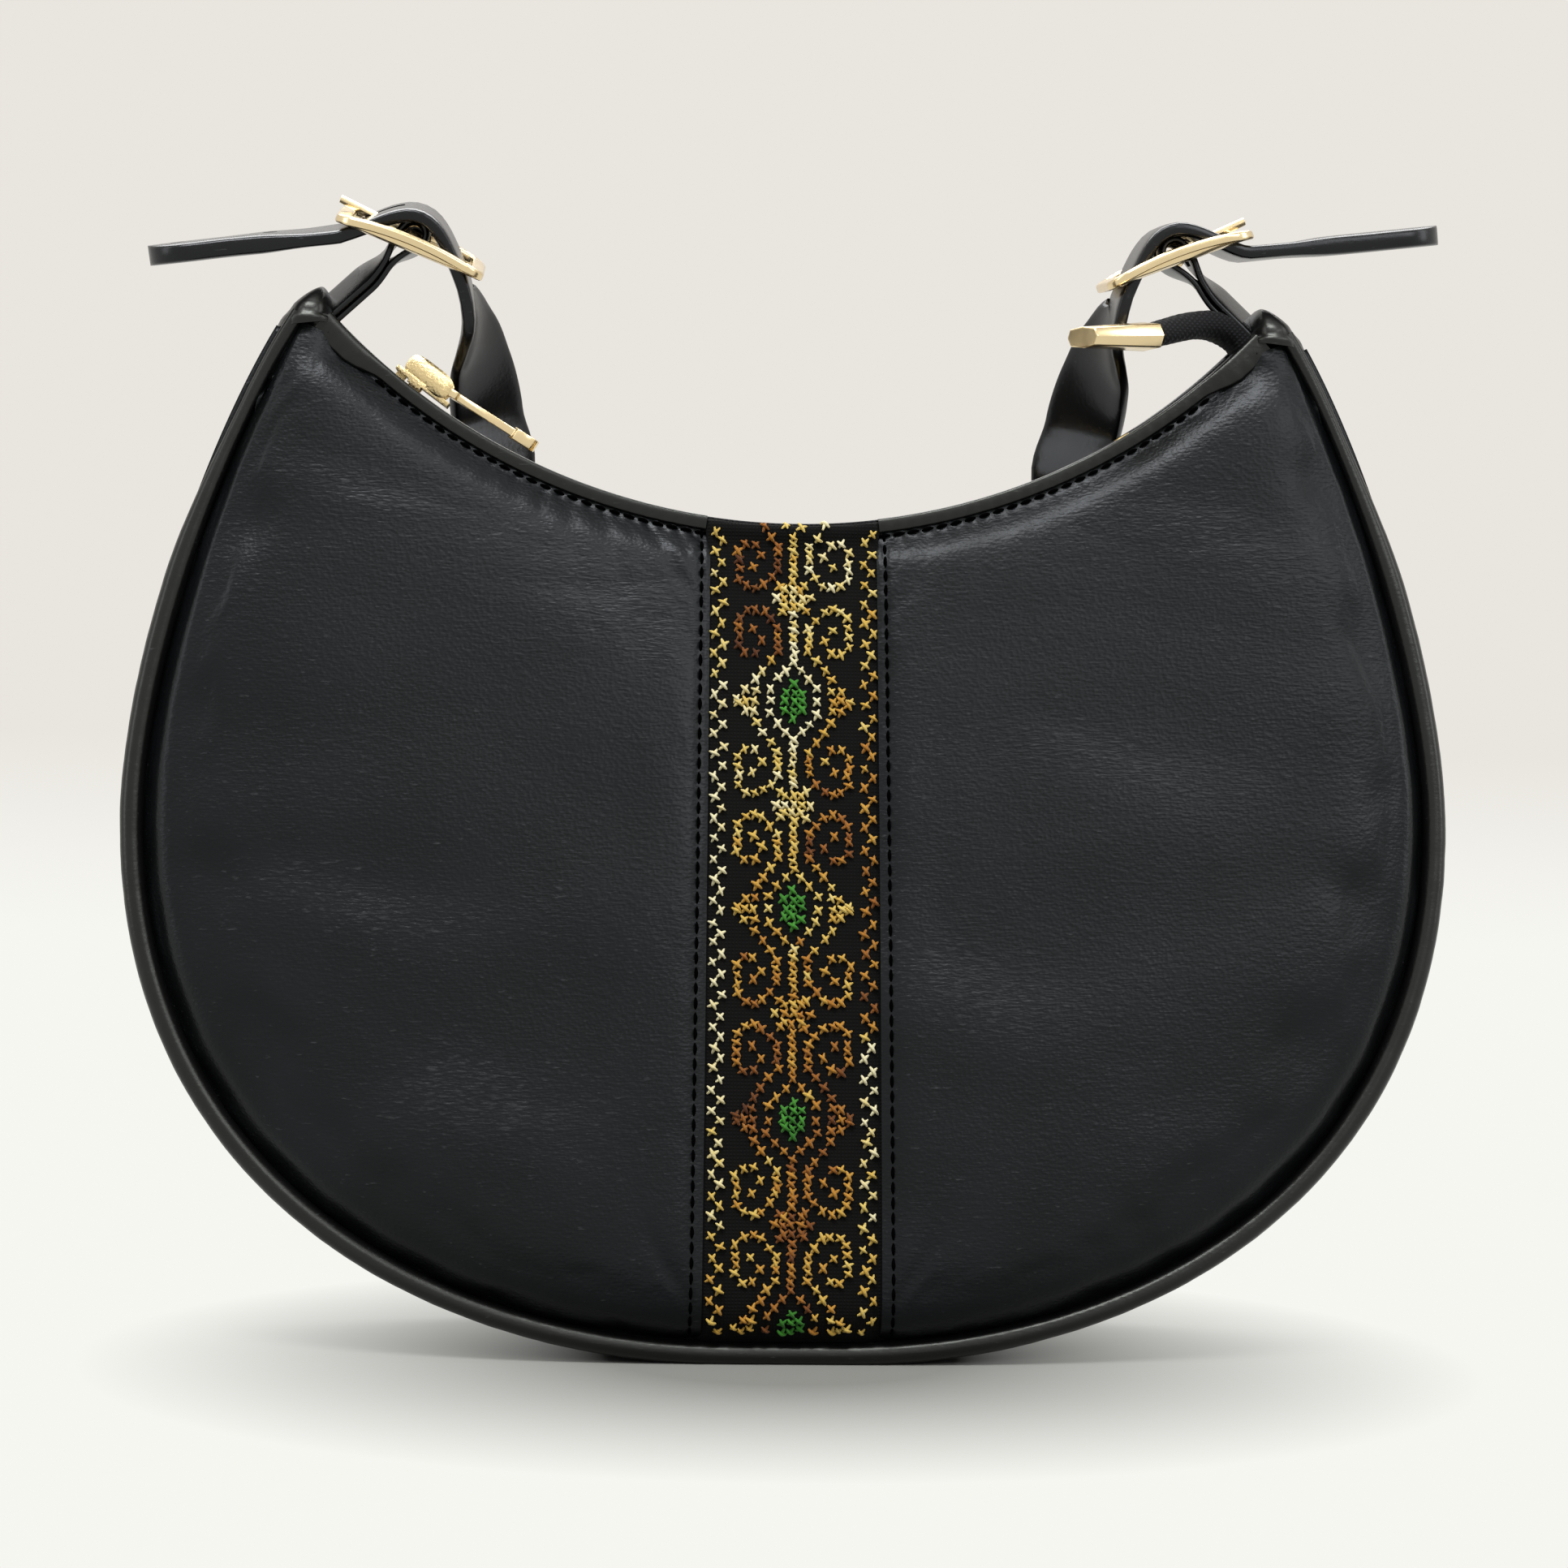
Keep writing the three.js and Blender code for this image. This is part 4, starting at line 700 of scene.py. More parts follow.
across = np.linspace(-STRIP_HALF - STRIP_TUCK, STRIP_HALF + STRIP_TUCK, 61)
shares = np.sign(across) * np.interp(np.abs(across), half_seam[WIDENING, 0], seam_share[WIDENING])
tucked = smoothstep(np.abs(across), STRIP_HALF - 1.4, STRIP_HALF + 0.6)
strip_grid = []
for depth, lift in TURNED_OVER:
    x, z = mouth(np.degrees(np.arcsin(across / MOUTH_RADIUS)), lift)
    strip_grid.append(np.stack([x, FRONT * (depth - (0.5 + RIM_DROP) * tucked), z], -1))
for v in np.linspace(0.004, 1.004, 90):
    x, depth, z = face(shares, v, SEWN_FALL)
    rim = RIM_DROP * np.exp(-((v * face_height(shares) / RIM_REACH) ** 2))
    strip_grid.append(np.stack([x, FRONT * (depth - STRIP_RECESS - (0.5 + rim) * tucked), z], -1))
strip_grid = np.array(strip_grid)
strip = thickened(grid_piece("strip_cloth", strip_grid, (0, FRONT, 0)), STRIP_CLOTH_THICKNESS)
hand_over(strip, STRIP_CLOTH, "bag", "strip_cloth", "embroidered_strip")
strip_run = np.linalg.norm(np.diff(strip_grid[:, 30], axis=0), axis=1).sum() * MM


# %% [markdown]
# ## Geometry Nodes for stitches
# Stitches repeat hundreds of times, so a node tree makes them. Two trees are enough. One walks along
# a line and sets down a short thread at every pitch. The other sets a cross of two threads on every
# given point. Both turn their stitch to the leather or cloth below it, by an attribute called out.


# %% Trees and how they are used
def tree_of(name, **inputs):
    """A geometry tree with named inputs, and its input and output nodes."""
    tree = bpy.data.node_groups.new(name, "GeometryNodeTree")
    for way in ("INPUT", "OUTPUT"):
        tree.interface.new_socket("Geometry", in_out=way, socket_type="NodeSocketGeometry")
    for label, kind in inputs.items():
        tree.interface.new_socket(label, in_out="INPUT", socket_type="NodeSocket" + kind)
    return tree, tree.nodes.new("NodeGroupInput").outputs


def closing(tree, instances, finish):
    """Every tree ends alike: real geometry, smooth, with its material."""
    real = add(tree, "GeometryNodeRealizeInstances", {"Geometry": instances})
    smooth = add(tree, "GeometryNodeSetShadeSmooth", {"Geometry": real.outputs[0]})
    painted = add(tree, "GeometryNodeSetMaterial", {"Geometry": smooth.outputs[0], "Material": finish})
    add(tree, "NodeGroupOutput", {"Geometry": painted.outputs[0]})


def grown(obj, tree, values):
    """Runs a tree on an object, and keeps the result as its plain mesh."""
    growth = obj.modifiers.new(tree.name, "NODES")
    growth.node_group = tree
    for item in tree.interface.items_tree:
        if item.in_out == "INPUT" and item.name in values:
            growth[item.identifier] = values[item.name]
    return baked(obj)


def stepped(tree, line, step):
    """A line of edges as a curve, with a point at every step."""
    curve = add(tree, "GeometryNodeMeshToCurve", {"Mesh": line}).outputs[0]
    inputs = {"Curve": curve, "Length": step}
    return add(tree, "GeometryNodeResampleCurve", inputs, mode="LENGTH").outputs[0]


def swept(tree, curve, section, scale):
    """A section carried along a curve and closed at both ends."""
    inputs = {"Curve": curve, "Profile Curve": section, "Scale": scale, "Fill Caps": True}
    return add(tree, "GeometryNodeCurveToMesh", inputs).outputs[0]


def named(tree, name, kind="FLOAT"):
    return add(tree, "GeometryNodeInputNamedAttribute", {"Name": name}, data_type=kind).outputs[0]


def turned_to(tree, first_axis, first, second_axis, second):
    """A rotation that lays one axis along a direction, and another as near as it can to a second."""
    return add(
        tree,
        "FunctionNodeAxesToRotation",
        {"Primary Axis": first, "Secondary Axis": second},
        primary_axis=first_axis,
        secondary_axis=second_axis,
    ).outputs[0]


def thread_bar(tree, length, thickness):
    """One arched thread, lying along X, thinner where it dives into the cloth."""
    under, radius = (calc(tree, "MULTIPLY", thickness, share) for share in (-0.3, 0.5))
    start, end = (
        add(tree, "ShaderNodeCombineXYZ", {"X": calc(tree, "MULTIPLY", length, share), "Z": under})
        for share in (-0.5, 0.5)
    )
    top = add(tree, "ShaderNodeCombineXYZ", {"Z": thickness}).outputs[0]
    bend = {"Resolution": 5, "Start": start.outputs[0], "Middle": top, "End": end.outputs[0]}
    arch = add(tree, "GeometryNodeCurveQuadraticBezier", bend).outputs[0]
    ring = add(tree, "GeometryNodeCurvePrimitiveCircle", {"Resolution": 6, "Radius": radius})
    along = add(tree, "GeometryNodeSplineParameter").outputs["Factor"]
    swell = calc(tree, "SINE", calc(tree, "MULTIPLY", along, math.pi))
    return swept(tree, arch, ring.outputs[0], calc(tree, "MULTIPLY_ADD", swell, 0.5, 0.55))


# %% Tree: a row of stitches along a line
stitch_row, given = tree_of(
    "stitch row", Pitch="Float", Length="Float", Thickness="Float", Material="Material"
)
steps = stepped(stitch_row, given["Geometry"], given["Pitch"])
tangent = add(stitch_row, "GeometryNodeInputTangent").outputs[0]
lie = turned_to(stitch_row, "Z", named(stitch_row, "out", "FLOAT_VECTOR"), "X", tangent)
one = thread_bar(stitch_row, given["Length"], given["Thickness"])
placing = {"Points": steps, "Instance": one, "Rotation": lie}
row = add(stitch_row, "GeometryNodeInstanceOnPoints", placing)
closing(stitch_row, row.outputs[0], given["Material"])
print("tree:", stitch_row.name)

# %% Tree: crosses on points
WOBBLE = 0.34  # radians that a hand-made cross turns either way
SMALLEST, LARGEST = (0.78, 0.78, 0.8), (1.12, 1.12, 1.25)


def random_between(tree, low, high, seed):
    inputs = {"Min": low, "Max": high, "Seed": seed}
    return add(tree, "FunctionNodeRandomValue", inputs, data_type="FLOAT_VECTOR").outputs[0]


cross_stitch, given = tree_of(
    "cross stitches", Arm="Float", Thickness="Float", Slope="Float", Seed="Int", Material="Material"
)
back_slope = calc(cross_stitch, "MULTIPLY", given["Slope"], -1.0)
over = calc(cross_stitch, "MULTIPLY", given["Thickness"], 0.45)
cross = add(cross_stitch, "GeometryNodeJoinGeometry")
for slope, rise in ((given["Slope"], 0.0), (back_slope, over)):
    arm = thread_bar(cross_stitch, given["Arm"], given["Thickness"])
    slant, lift = (add(cross_stitch, "ShaderNodeCombineXYZ", {"Z": z}).outputs[0] for z in (slope, rise))
    lying = {"Geometry": arm, "Translation": lift, "Rotation": slant}
    laid_arm = add(cross_stitch, "GeometryNodeTransform", lying)
    cross_stitch.links.new(laid_arm.outputs[0], cross.inputs[0])
upright = turned_to(cross_stitch, "Z", named(cross_stitch, "out", "FLOAT_VECTOR"), "Y", (0, 0, 1))
wobble = random_between(cross_stitch, (0, 0, -WOBBLE), (0, 0, WOBBLE), given["Seed"])
askew = add(
    cross_stitch,
    "FunctionNodeRotateRotation",
    {"Rotation": upright, "Rotate By": wobble},
    rotation_space="LOCAL",
)
placing = {
    "Points": given["Geometry"],
    "Instance": cross.outputs[0],
    "Rotation": askew.outputs[0],
    "Scale": random_between(cross_stitch, SMALLEST, LARGEST, given["Seed"]),
}
spread_out = add(cross_stitch, "GeometryNodeInstanceOnPoints", placing)
closing(cross_stitch, spread_out.outputs[0], given["Material"])
print("tree:", cross_stitch.name)


# %% Lines and points that lie on a surface
def surface_of(*objects):
    """Search trees of finished pieces, for laying stitches on them."""
    found = []
    for obj in objects:
        points = [v.co for v in obj.data.vertices]
        found.append(BVHTree.FromPolygons(points, [p.vertices for p in obj.data.polygons]))
    return found


def laid(name, spots, surfaces, side, joined, raise_mm=0.0, **numbers):
    """Points in mm (x, z) dropped on a face from outside, as a line or loose, with their normals."""
    points, normals, kept = [], [], []
    for k, (x, z) in enumerate(spots):
        start = Vector((x, side * 200, z)) * MM
        hits = [t.ray_cast(start, Vector((0, -side, 0))) for t in surfaces]
        hits = [h for h in hits if h[0] is not None]
        if hits:
            spot, normal, _, _ = min(hits, key=lambda h: h[3])
            if normal.y * side < 0:
                normal = -normal
            points.append(spot + normal * raise_mm * MM)
            normals.append(normal)
            kept.append(k)
    obj = wire(name, points, joined)
    out = obj.data.attributes.new("out", "FLOAT_VECTOR", "POINT")
    out.data.foreach_set("vector", [c for n in normals for c in n])
    for key, values in numbers.items():
        tagged(obj, key, [float(values[k]) for k in kept])
    return obj


# %% [markdown]
# ## Embroidery
# The ornament is counted cross-stitch, an old running pattern: stars and ovals take turns on a stem,
# with scrolls and leaves to both sides, between two zig-zag borders. It mirrors left and right, and up
# and down about each star and each oval. So it is enough to write down one quarter of a repeat as
# short runs of stitches, in columns from the stem and rows from a star, and to let code mirror it.

# %% One quarter of the pattern
COLUMN, ROW = 1.72, 1.9  # mm between stitches
HALF_REPEAT = 11  # rows from a star to an oval
FIRST_STAR = 153.9  # height of the first star
QUARTER = {
    "middle": [
        ((0, 0), (2, 0), 3),
        ((0, 0.9), (1, 0.9), 2),
        ((1.45, 1.35), (1.45, 1.35), 1),
        ((0, 1.9), (0, 5.9), 6),
        ((0, 6.8), (1.9, 8.6), 3),
        ((2.8, 9.6), (2.8, 11), 2),
    ],
    "sides": [
        ((1.85, 3.2), (1.85, 5.6), 4),
        ((2.7, 6.6), (3.6, 7.7), 2),
        ((4.5, 8.7), (4.75, 11), 3),
        ((5.6, 9.9), (5.7, 11), 2),
        ((6.6, 10.8), (6.6, 10.8), 1),
        ((2.6, 2.3), (3.6, 1.4), 2),
        ((4.6, 1.15), (5.6, 1.3), 2),
        ((6.4, 2.1), (6.6, 5), 4),
        ((5.7, 5.9), (4.6, 5.8), 2),
        ((3.7, 4.6), (4.8, 3.4), 2),
    ],
    "heart": [((0, 9.2), (0, 9.2), 1), ((0, 10.1), (0, 11), 2), ((1, 10.1), (1, 11), 2)],
}


def quarter_cells(part):
    for (c0, r0), (c1, r1), count in QUARTER[part]:
        for t in np.linspace(0, 1, count):
            yield lerp(c0, c1, t), lerp(r0, r1, t)


def repeated(part):
    """All stitches of one part of the pattern, as (column, row) with the first star at row 0."""
    cells = set()
    for column, row in quarter_cells(part):
        for star in range(-2, 8, 2):
            for hand in (-1, 1):
                for way in (-1, 1):
                    cells.add((round(hand * column, 3), round(star * HALF_REPEAT + way * row, 3)))
    return sorted(cells, key=lambda cell: (cell[1], cell[0]))


print({part: len(list(quarter_cells(part))) for part in QUARTER}, "stitches in a quarter")

# %% [markdown]
# The needle took a new length of thread now and then, so the tone runs in slow waves that differ for
# the left side, the right side, the middle and each border. A short list of rows and tones tells how
# each one runs. On the right border a new thread starts half way down, so its tone jumps. The folds
# hide what lies past them: some of the outer border stitches go missing.

# %% Place the embroidery
LEAN = (0.1, 0.9)  # mm that the stem stands off the strip's middle, top and bottom
EDGE_OF_VIEW = 16.9
BORDER_COLUMNS = (14.5, 16.1)
BORDER_ROW = 2.08
THREAD_RUNS = {  # rows below the first star, and the tones there: 0 brown, 1 cream
    "left": ((-8, 6, 7, 55, 60, 75), (0.15, 0.12, 0.85, 0.12, 0.5, 0.38)),
    "right": ((-8, 27, 31, 57, 62, 75), (0.85, 0.2, 0.6, 0.12, 0.35, 0.55)),
    "middle": ((-8, 3, 9, 13, 20, 66, 75), (0.6, 0.66, 1, 1, 0.72, 0.15, 0.2)),
    "left_border": ((-8, 40, 75), (0.6, 1.0, 0.5)),
    "right_border": ((-8, 46, 47, 75), (0.62, 0.2, 1.0, 0.5)),
    "heart": ((-8, 75), (0.45, 0.35)),
}
STRIP_TOP, STRIP_BOTTOM = 169.6, 5.4
draw = np.random.default_rng(7)


def lean_at(z):
    return lerp(*LEAN, (STRIP_TOP - z) / (STRIP_TOP - STRIP_BOTTOM))


def stitch_spots(part):
    for column, row in repeated(part):
        z = FIRST_STAR - row * ROW
        run = part if part == "middle" else ("left" if column < 0 else "right")
        yield column * COLUMN + lean_at(z), z, run, row


def border_spots():
    count = int((STRIP_TOP - STRIP_BOTTOM) / BORDER_ROW) + 1
    for hand, run in ((-1, "left_border"), (1, "right_border")):
        for k in range(count):
            z = STRIP_TOP - k * BORDER_ROW
            x = hand * BORDER_COLUMNS[k % 2] + lean_at(z)
            if abs(x - lean_at(z)) < EDGE_OF_VIEW:
                yield x, z, run, (FIRST_STAR - z) / ROW


def embroidered(name, spots, finish, seed):
    spots = [p for p in spots if STRIP_BOTTOM < p[1] < STRIP_TOP]
    where = [(x + draw.normal(0, 0.16), z + draw.normal(0, 0.16)) for x, z, _, _ in spots]
    tones = [np.interp(row, *THREAD_RUNS[run]) + draw.normal(0, 0.08) for _, _, run, row in spots]
    points = laid(name, where, surface_of(strip), FRONT, False, 0.15, tone=tones)
    values = {
        "Arm": 2.3 * MM,
        "Thickness": 0.72 * MM,
        "Slope": math.atan2(ROW, COLUMN),
        "Seed": seed,
        "Material": finish,
    }
    return hand_over(grown(points, cross_stitch, values), None, "bag", "strip_cloth")


gold_spots = [*stitch_spots("middle"), *stitch_spots("sides"), *border_spots()]
embroidered("strip_gold_stitches", gold_spots, GOLD_THREAD, 5)
green_spots = [(x, z, "heart", row) for x, z, _, row in stitch_spots("heart")]
embroidered("strip_green_stitches", green_spots, GREEN_THREAD, 6)

# %% [markdown]
# ## Topstitching beside the strip
# Both folds are held down by one row of black stitches, two millimetres from the edge and three long.
# The row lies in the dent that the leather got there.

# %% Topstitching beside the strip
STITCH_LENGTH, STITCH_THREAD = 2.35, 0.7


def stitched(name, spots, surfaces, side, raise_mm=0.1):
    path = laid(name, spots, surfaces, side, True, raise_mm)
    values = {
        "Pitch": STITCH_PITCH * MM,
        "Length": STITCH_LENGTH * MM,
        "Thickness": STITCH_THREAD * MM,
        "Material": SEWING_THREAD,
    }
    return hand_over(grown(path, stitch_row, values), None, "bag", "black_leather")


fold_heights = np.linspace(167, 7, 180)
for hand, panel in ((-1, front_left), (1, front_right)):
    spots = [(fold_at(hand, z) + hand * STITCH_LINE, z) for z in fold_heights]
    stitched(f"fold_stitches_{'left' if hand < 0 else 'right'}", spots, surface_of(panel), FRONT)

# %% [markdown]
# ## Piping
# A cord wrapped in trim leather runs round each face. It follows a path, so Geometry Nodes sweep a
# circle along the seam. A noise on the radius gives the small pinches where the wrapping is gathered
# round the curve. Towards the horns the cord is pulled flat, which an attribute called slim tells.

# %% Tree: piping along a path
PIPING_RADIUS = 2.4
piping_tree, given = tree_of(
    "piping", Radius="Float", Step="Float", Pinch="Float", Wrinkle="Float", Material="Material"
)
steps = stepped(piping_tree, given["Geometry"], given["Step"])
gathers = add(piping_tree, "ShaderNodeTexNoise", {"Scale": given["Wrinkle"], "Detail": 2})
swing = calc(piping_tree, "MULTIPLY_ADD", gathers.outputs["Fac"], given["Pinch"], 1.0)
girth = calc(piping_tree, "MULTIPLY", swing, named(piping_tree, "slim"))
section = {"Resolution": 14, "Radius": given["Radius"]}
circle = add(piping_tree, "GeometryNodeCurvePrimitiveCircle", section)
closing(piping_tree, swept(piping_tree, steps, circle.outputs[0], girth), given["Material"])
print("tree:", piping_tree.name)


# %% Sweep both pipings
PULLED_FLAT, FLAT_SPAN = 0.4, (0.8, 0.93)  # share of the girth lost, and where along the seam


def piping(name, side, node):
    s = np.linspace(-1, 1, 400)
    slim = 1 - PULLED_FLAT * smoothstep(np.abs(s), *FLAT_SPAN)
    x, z = seam(s, 0.8 * PIPING_RADIUS * (1 - slim))
    path = wire(name, (np.stack([x, side * gusset_half(s), z], -1) * MM).tolist())
    tagged(path, "slim", slim)
    values = {
        "Radius": 1.04 * PIPING_RADIUS * MM,
        "Step": 0.9 * MM,
        "Pinch": -0.1,
        "Wrinkle": per(6),
        "Material": TRIM_LEATHER,
    }
    obj = grown(path, piping_tree, values)
    for vertex in obj.data.vertices:  # the bag's weight flattens it on the floor
        vertex.co.z = max(vertex.co.z, 0)
    return hand_over(obj, None, "bag", "trim_leather", node)


piping("front_piping_cord", FRONT, "front_piping")
piping("back_piping_cord", BACK, "back_piping")

# %% [markdown]
# ## Rolled edges of the mouth
# Along the mouth the leather is bound with a narrow flat strip, rolled over and stitched through. In
# front it stops at the embroidered strip. Near the horns its end is folded down as a wider flap. A
# section is carried along the arc and drawn in at every stitch, and black thread lies in the groove.

# %% Rolled edges
ROLL_NEAR, ROLL_FAR, ROLL_UNDER, ROLL_OVER = 7.1, 8.7, -2.8, 0.1
FLAP_START, FLAP_DROP = 7.0, 2.3  # degrees before the mouth's end, and how much wider the flap is
EDGE_END = MOUTH_HALF_ANGLE + 0.4
GROOVE = ROLL_UNDER - 0.75
ARC_STEP = 0.5


def super_ring(count, power):
    """A rounded rectangle from -1 to 1, as points round it."""
    turn = np.linspace(0, 2 * math.pi, count, endpoint=False)
    c, s = np.cos(turn), np.sin(turn)
    return np.sign(c) * np.abs(c) ** (2 / power), np.sign(s) * np.abs(s) ** (2 / power)


def along_mouth(side, near, far, under, over, span, draw_in=0.0, flap=0.0, count=24, power=3.2):
    """Rings of a soft bar along the mouth, between two distances from its middle and two lifts."""
    run = math.radians(span[1] - span[0]) * MOUTH_RADIUS
    angle = np.linspace(*span, int(run / ARC_STEP))[:, None]
    across, up = super_ring(count, power)
    pull = 0.5 + 0.5 * np.cos(2 * math.pi * np.radians(angle) * MOUTH_RADIUS / STITCH_PITCH)
    low, outer = np.clip(-up, 0, 1)[None, :], np.clip(across, 0, 1)[None, :]
    ends = smoothstep(np.abs(angle), MOUTH_HALF_ANGLE - FLAP_START, MOUTH_HALF_ANGLE - FLAP_START + 4)
    y = lerp(near, far, (across[None, :] + 1) / 2) + (0.25 * flap * ends - draw_in * pull * low) * outer
    lift = lerp(under - flap * ends, over, (up[None, :] + 1) / 2)
    x, z = mouth(angle + 0 * y, lift)
    return np.stack([x, side * (y + 0 * angle), z], -1)


edge_spans = {
    FRONT: ((-EDGE_END, -STRIP_ANGLE), (STRIP_ANGLE, EDGE_END)),
    BACK: ((-EDGE_END, EDGE_END),),
}
for side, face_name in ((FRONT, "front"), (BACK, "back")):
    parts = [
        along_mouth(side, ROLL_NEAR, ROLL_FAR, ROLL_UNDER, ROLL_OVER, span, 0.35, FLAP_DROP)
        for span in edge_spans[side]
    ]
    roll = ring_piece(f"{face_name}_rolled_edge", *parts)
    hand_over(roll, TRIM_LEATHER, "bag", "trim_leather", f"{face_name}_top_binding")
    panels = (front_left, front_right) if side == FRONT else (back_face,)
    for k, (low, high) in enumerate(edge_spans[side]):
        low, high = (max(low, FLAP_START - EDGE_END), min(high, EDGE_END - FLAP_START))
        spots = list(zip(*mouth(np.linspace(low + 0.4, high - 0.4, 200), GROOVE)))
        stitched(f"{face_name}_edge_stitches_{k}", spots, surface_of(*panels), side, 0.2)

# %% [markdown]
# ## Gusset and horns
# The gusset is the narrow band between the pipings. It sags inwards a little between them. The horns'
# tips are wrapped in trim leather, like a thimble: rings follow the section of the horn down over the
# last centimetre, and a dome closes the top.

# %% Gusset
GUSSET_FACE, GUSSET_THICKNESS, GUSSET_SAG, GUSSET_RIPPLE = 1.7, 1.4, 0.9, 0.35
s, t = np.meshgrid(np.linspace(-0.985, 0.985, 420), np.linspace(-1, 1, 21))
loose = (1 - t**2) * smoothstep(np.abs(s), 0.05, 0.3)  # nothing on the flat base and at the seams
ripple = [noise.noise(Vector((a * 40, b * 1.5, 2.0))) for a, b in zip(s.ravel(), t.ravel())]
sag = loose * (GUSSET_SAG + GUSSET_RIPPLE * np.array(ripple).reshape(s.shape))
x, z = seam(s, sag - GUSSET_FACE)
gusset = grid_piece("gusset_leather", np.stack([x, t * (gusset_half(s) - 1.2), z], -1), (0, 0, -1))
hand_over(thickened(gusset, GUSSET_THICKNESS), BODY_LEATHER, "bag", "black_leather", "gusset")

# %% Wrapped horns
WRAP_FROM, WRAP_RINGS, TIP_RINGS, WRAP_AROUND = 0.982, 7, 12, 48
WRAP_OVER = 0.3
NOSE = 0.8  # share of the horn's breadth that is left where the dome starts
TIP_HEIGHT, TIP_LEAN = 5.4, -1.1  # the tip leans to the mouth
HORN_DEPTH = 11.2


def horn_wrap(name, hand, node):
    across, deep = super_ring(WRAP_AROUND, 2.6)
    rings = []
    for s in np.linspace(WRAP_FROM, 1, WRAP_RINGS):
        inner, outer = np.array(mouth(mouth_angle(s), 0.5)), np.array(seam(s, -PIPING_RADIUS))
        middle, reach = (inner + outer) / 2, (outer - inner) / 2
        over = lerp(-0.5, WRAP_OVER, smoothstep(s, WRAP_FROM, 0.992))
        slim = lerp(1, NOSE, smoothstep(s, WRAP_FROM, 1))
        reach = reach * slim * (1 + over / np.linalg.norm(reach))
        half = max(float(gusset_half(s)) + PIPING_RADIUS, HORN_DEPTH) * slim**0.5 + over
        rings.append((middle, reach, half))
    middle, reach, half = rings[-1]
    side = reach / np.linalg.norm(reach)
    out = np.array([-side[1], side[0]])
    for rise in np.sin(np.linspace(0, math.pi / 2, TIP_RINGS + 1)[1:]):
        shrink = max(1 - rise**1.2, 0.0) ** 0.72 + 0.03
        at = middle + out * TIP_HEIGHT * rise + side * TIP_LEAN * rise
        rings.append((at, reach * shrink, half * shrink**0.45))
    points = [
        np.stack([hand * (m[0] + r[0] * across), h * deep, m[1] + r[1] * across], -1) for m, r, h in rings
    ]
    wrap = ring_piece(name, np.array(points), sharp=70)
    return hand_over(wrap, TRIM_LEATHER, "bag", "trim_leather", node)


horn_wrap("horn_wrap_left", -1, "horn_cap_left")
horn_wrap("horn_wrap_right", 1, "horn_cap_right")

# %% [markdown]
# ## Zip
# Two woven tapes carry rows of brass teeth that interlock. A tooth is a small bevelled block. Geometry
# Nodes set one on the arc at every pitch, and the second row half a pitch on. The slider, its pull
# and the stops are castings: their solids have the right shape, and only need their edges rounded. Two
# cheeks beside the pull's head close the slider's flanks.

# %% Tapes
TAPE_END, TAPE_NEAR = 44.19, 2.45
for side, face_name in ((FRONT, "front"), (BACK, "back")):
    rings = along_mouth(side, TAPE_NEAR, ROLL_NEAR - 0.1, -0.65, 0.05, (-TAPE_END, TAPE_END), count=16)
    tape = ring_piece(f"zip_cloth_{face_name}", rings)
    hand_over(tape, TAPE_CLOTH, "bag", "zip_tape", f"zip_tape_{face_name}")

# %% Tree: teeth along the arc
TOOTH_PITCH, TOOTH_WIDTH, TOOTH_HEIGHT = 4.4, 1.6, 1.3
TOOTH_FROM, TOOTH_TO = -0.9, 2.4
CHAIN_LIFT = -0.8
CHAIN_SPAN = (-37.89, 30.0)
teeth_tree, given = tree_of("zip teeth", Pitch="Float", Tooth="Object", Material="Material")
steps = stepped(teeth_tree, given["Geometry"], given["Pitch"])
tangent = add(teeth_tree, "GeometryNodeInputTangent").outputs[0]
shape = add(teeth_tree, "GeometryNodeObjectInfo", {"Object": given["Tooth"], "As Instance": True})
placing = {
    "Points": steps,
    "Instance": shape.outputs["Geometry"],
    "Rotation": turned_to(teeth_tree, "X", tangent, "Y", (0, 1, 0)),
}
row = add(teeth_tree, "GeometryNodeInstanceOnPoints", placing)
closing(teeth_tree, row.outputs[0], given["Material"])
print("tree:", teeth_tree.name)


# %% Rows of teeth
def rounded_block(name, low, high, width):
    """A box in mm with bevelled edges."""
    work = bmesh.new()
    bmesh.ops.create_cube(work, size=1)
    for vertex in work.verts:
        for k in range(3):
            vertex.co[k] = lerp(low[k], high[k], vertex.co[k] + 0.5) * MM
    bmesh.ops.bevel(work, geom=work.edges, offset=width * MM, segments=1, affect="EDGES")
    bmesh.ops.recalc_face_normals(work, faces=work.faces)
    mesh = bpy.data.meshes.new(name)
    work.to_mesh(mesh)
    work.free()
    return linked(name, mesh)


TOOTH_BEVEL, CHAIN_REST = 0.35, 0.9  # mm, and degrees that the path goes on past the last tooth
for side, face_name, start in ((FRONT, "front", 0), (BACK, "back", TOOTH_PITCH / 2)):
    near, far = sorted((side * TOOTH_FROM, side * TOOTH_TO))
    half_width, half_height = TOOTH_WIDTH / 2, TOOTH_HEIGHT / 2
    low, high = (-half_width, near, -half_height), (half_width, far, half_height)
    tooth = rounded_block("tooth", low, high, TOOTH_BEVEL)
    shift = math.degrees((start + half_width) / MOUTH_RADIUS)
    angles = np.linspace(CHAIN_SPAN[0] + shift, CHAIN_SPAN[1] + CHAIN_REST, 400)
    x, z = mouth(angles, CHAIN_LIFT)
    path = wire(f"zip_chain_{face_name}", (np.stack([x, 0 * x, z], -1) * MM).tolist())
    values = {"Pitch": TOOTH_PITCH * MM, "Tooth": tooth, "Material": BRASS}
    chain = grown(path, teeth_tree, values)
    bpy.data.objects.remove(tooth)
    hand_over(chain, None, "bag", "zip_metal", f"zip_teeth_{face_name}")


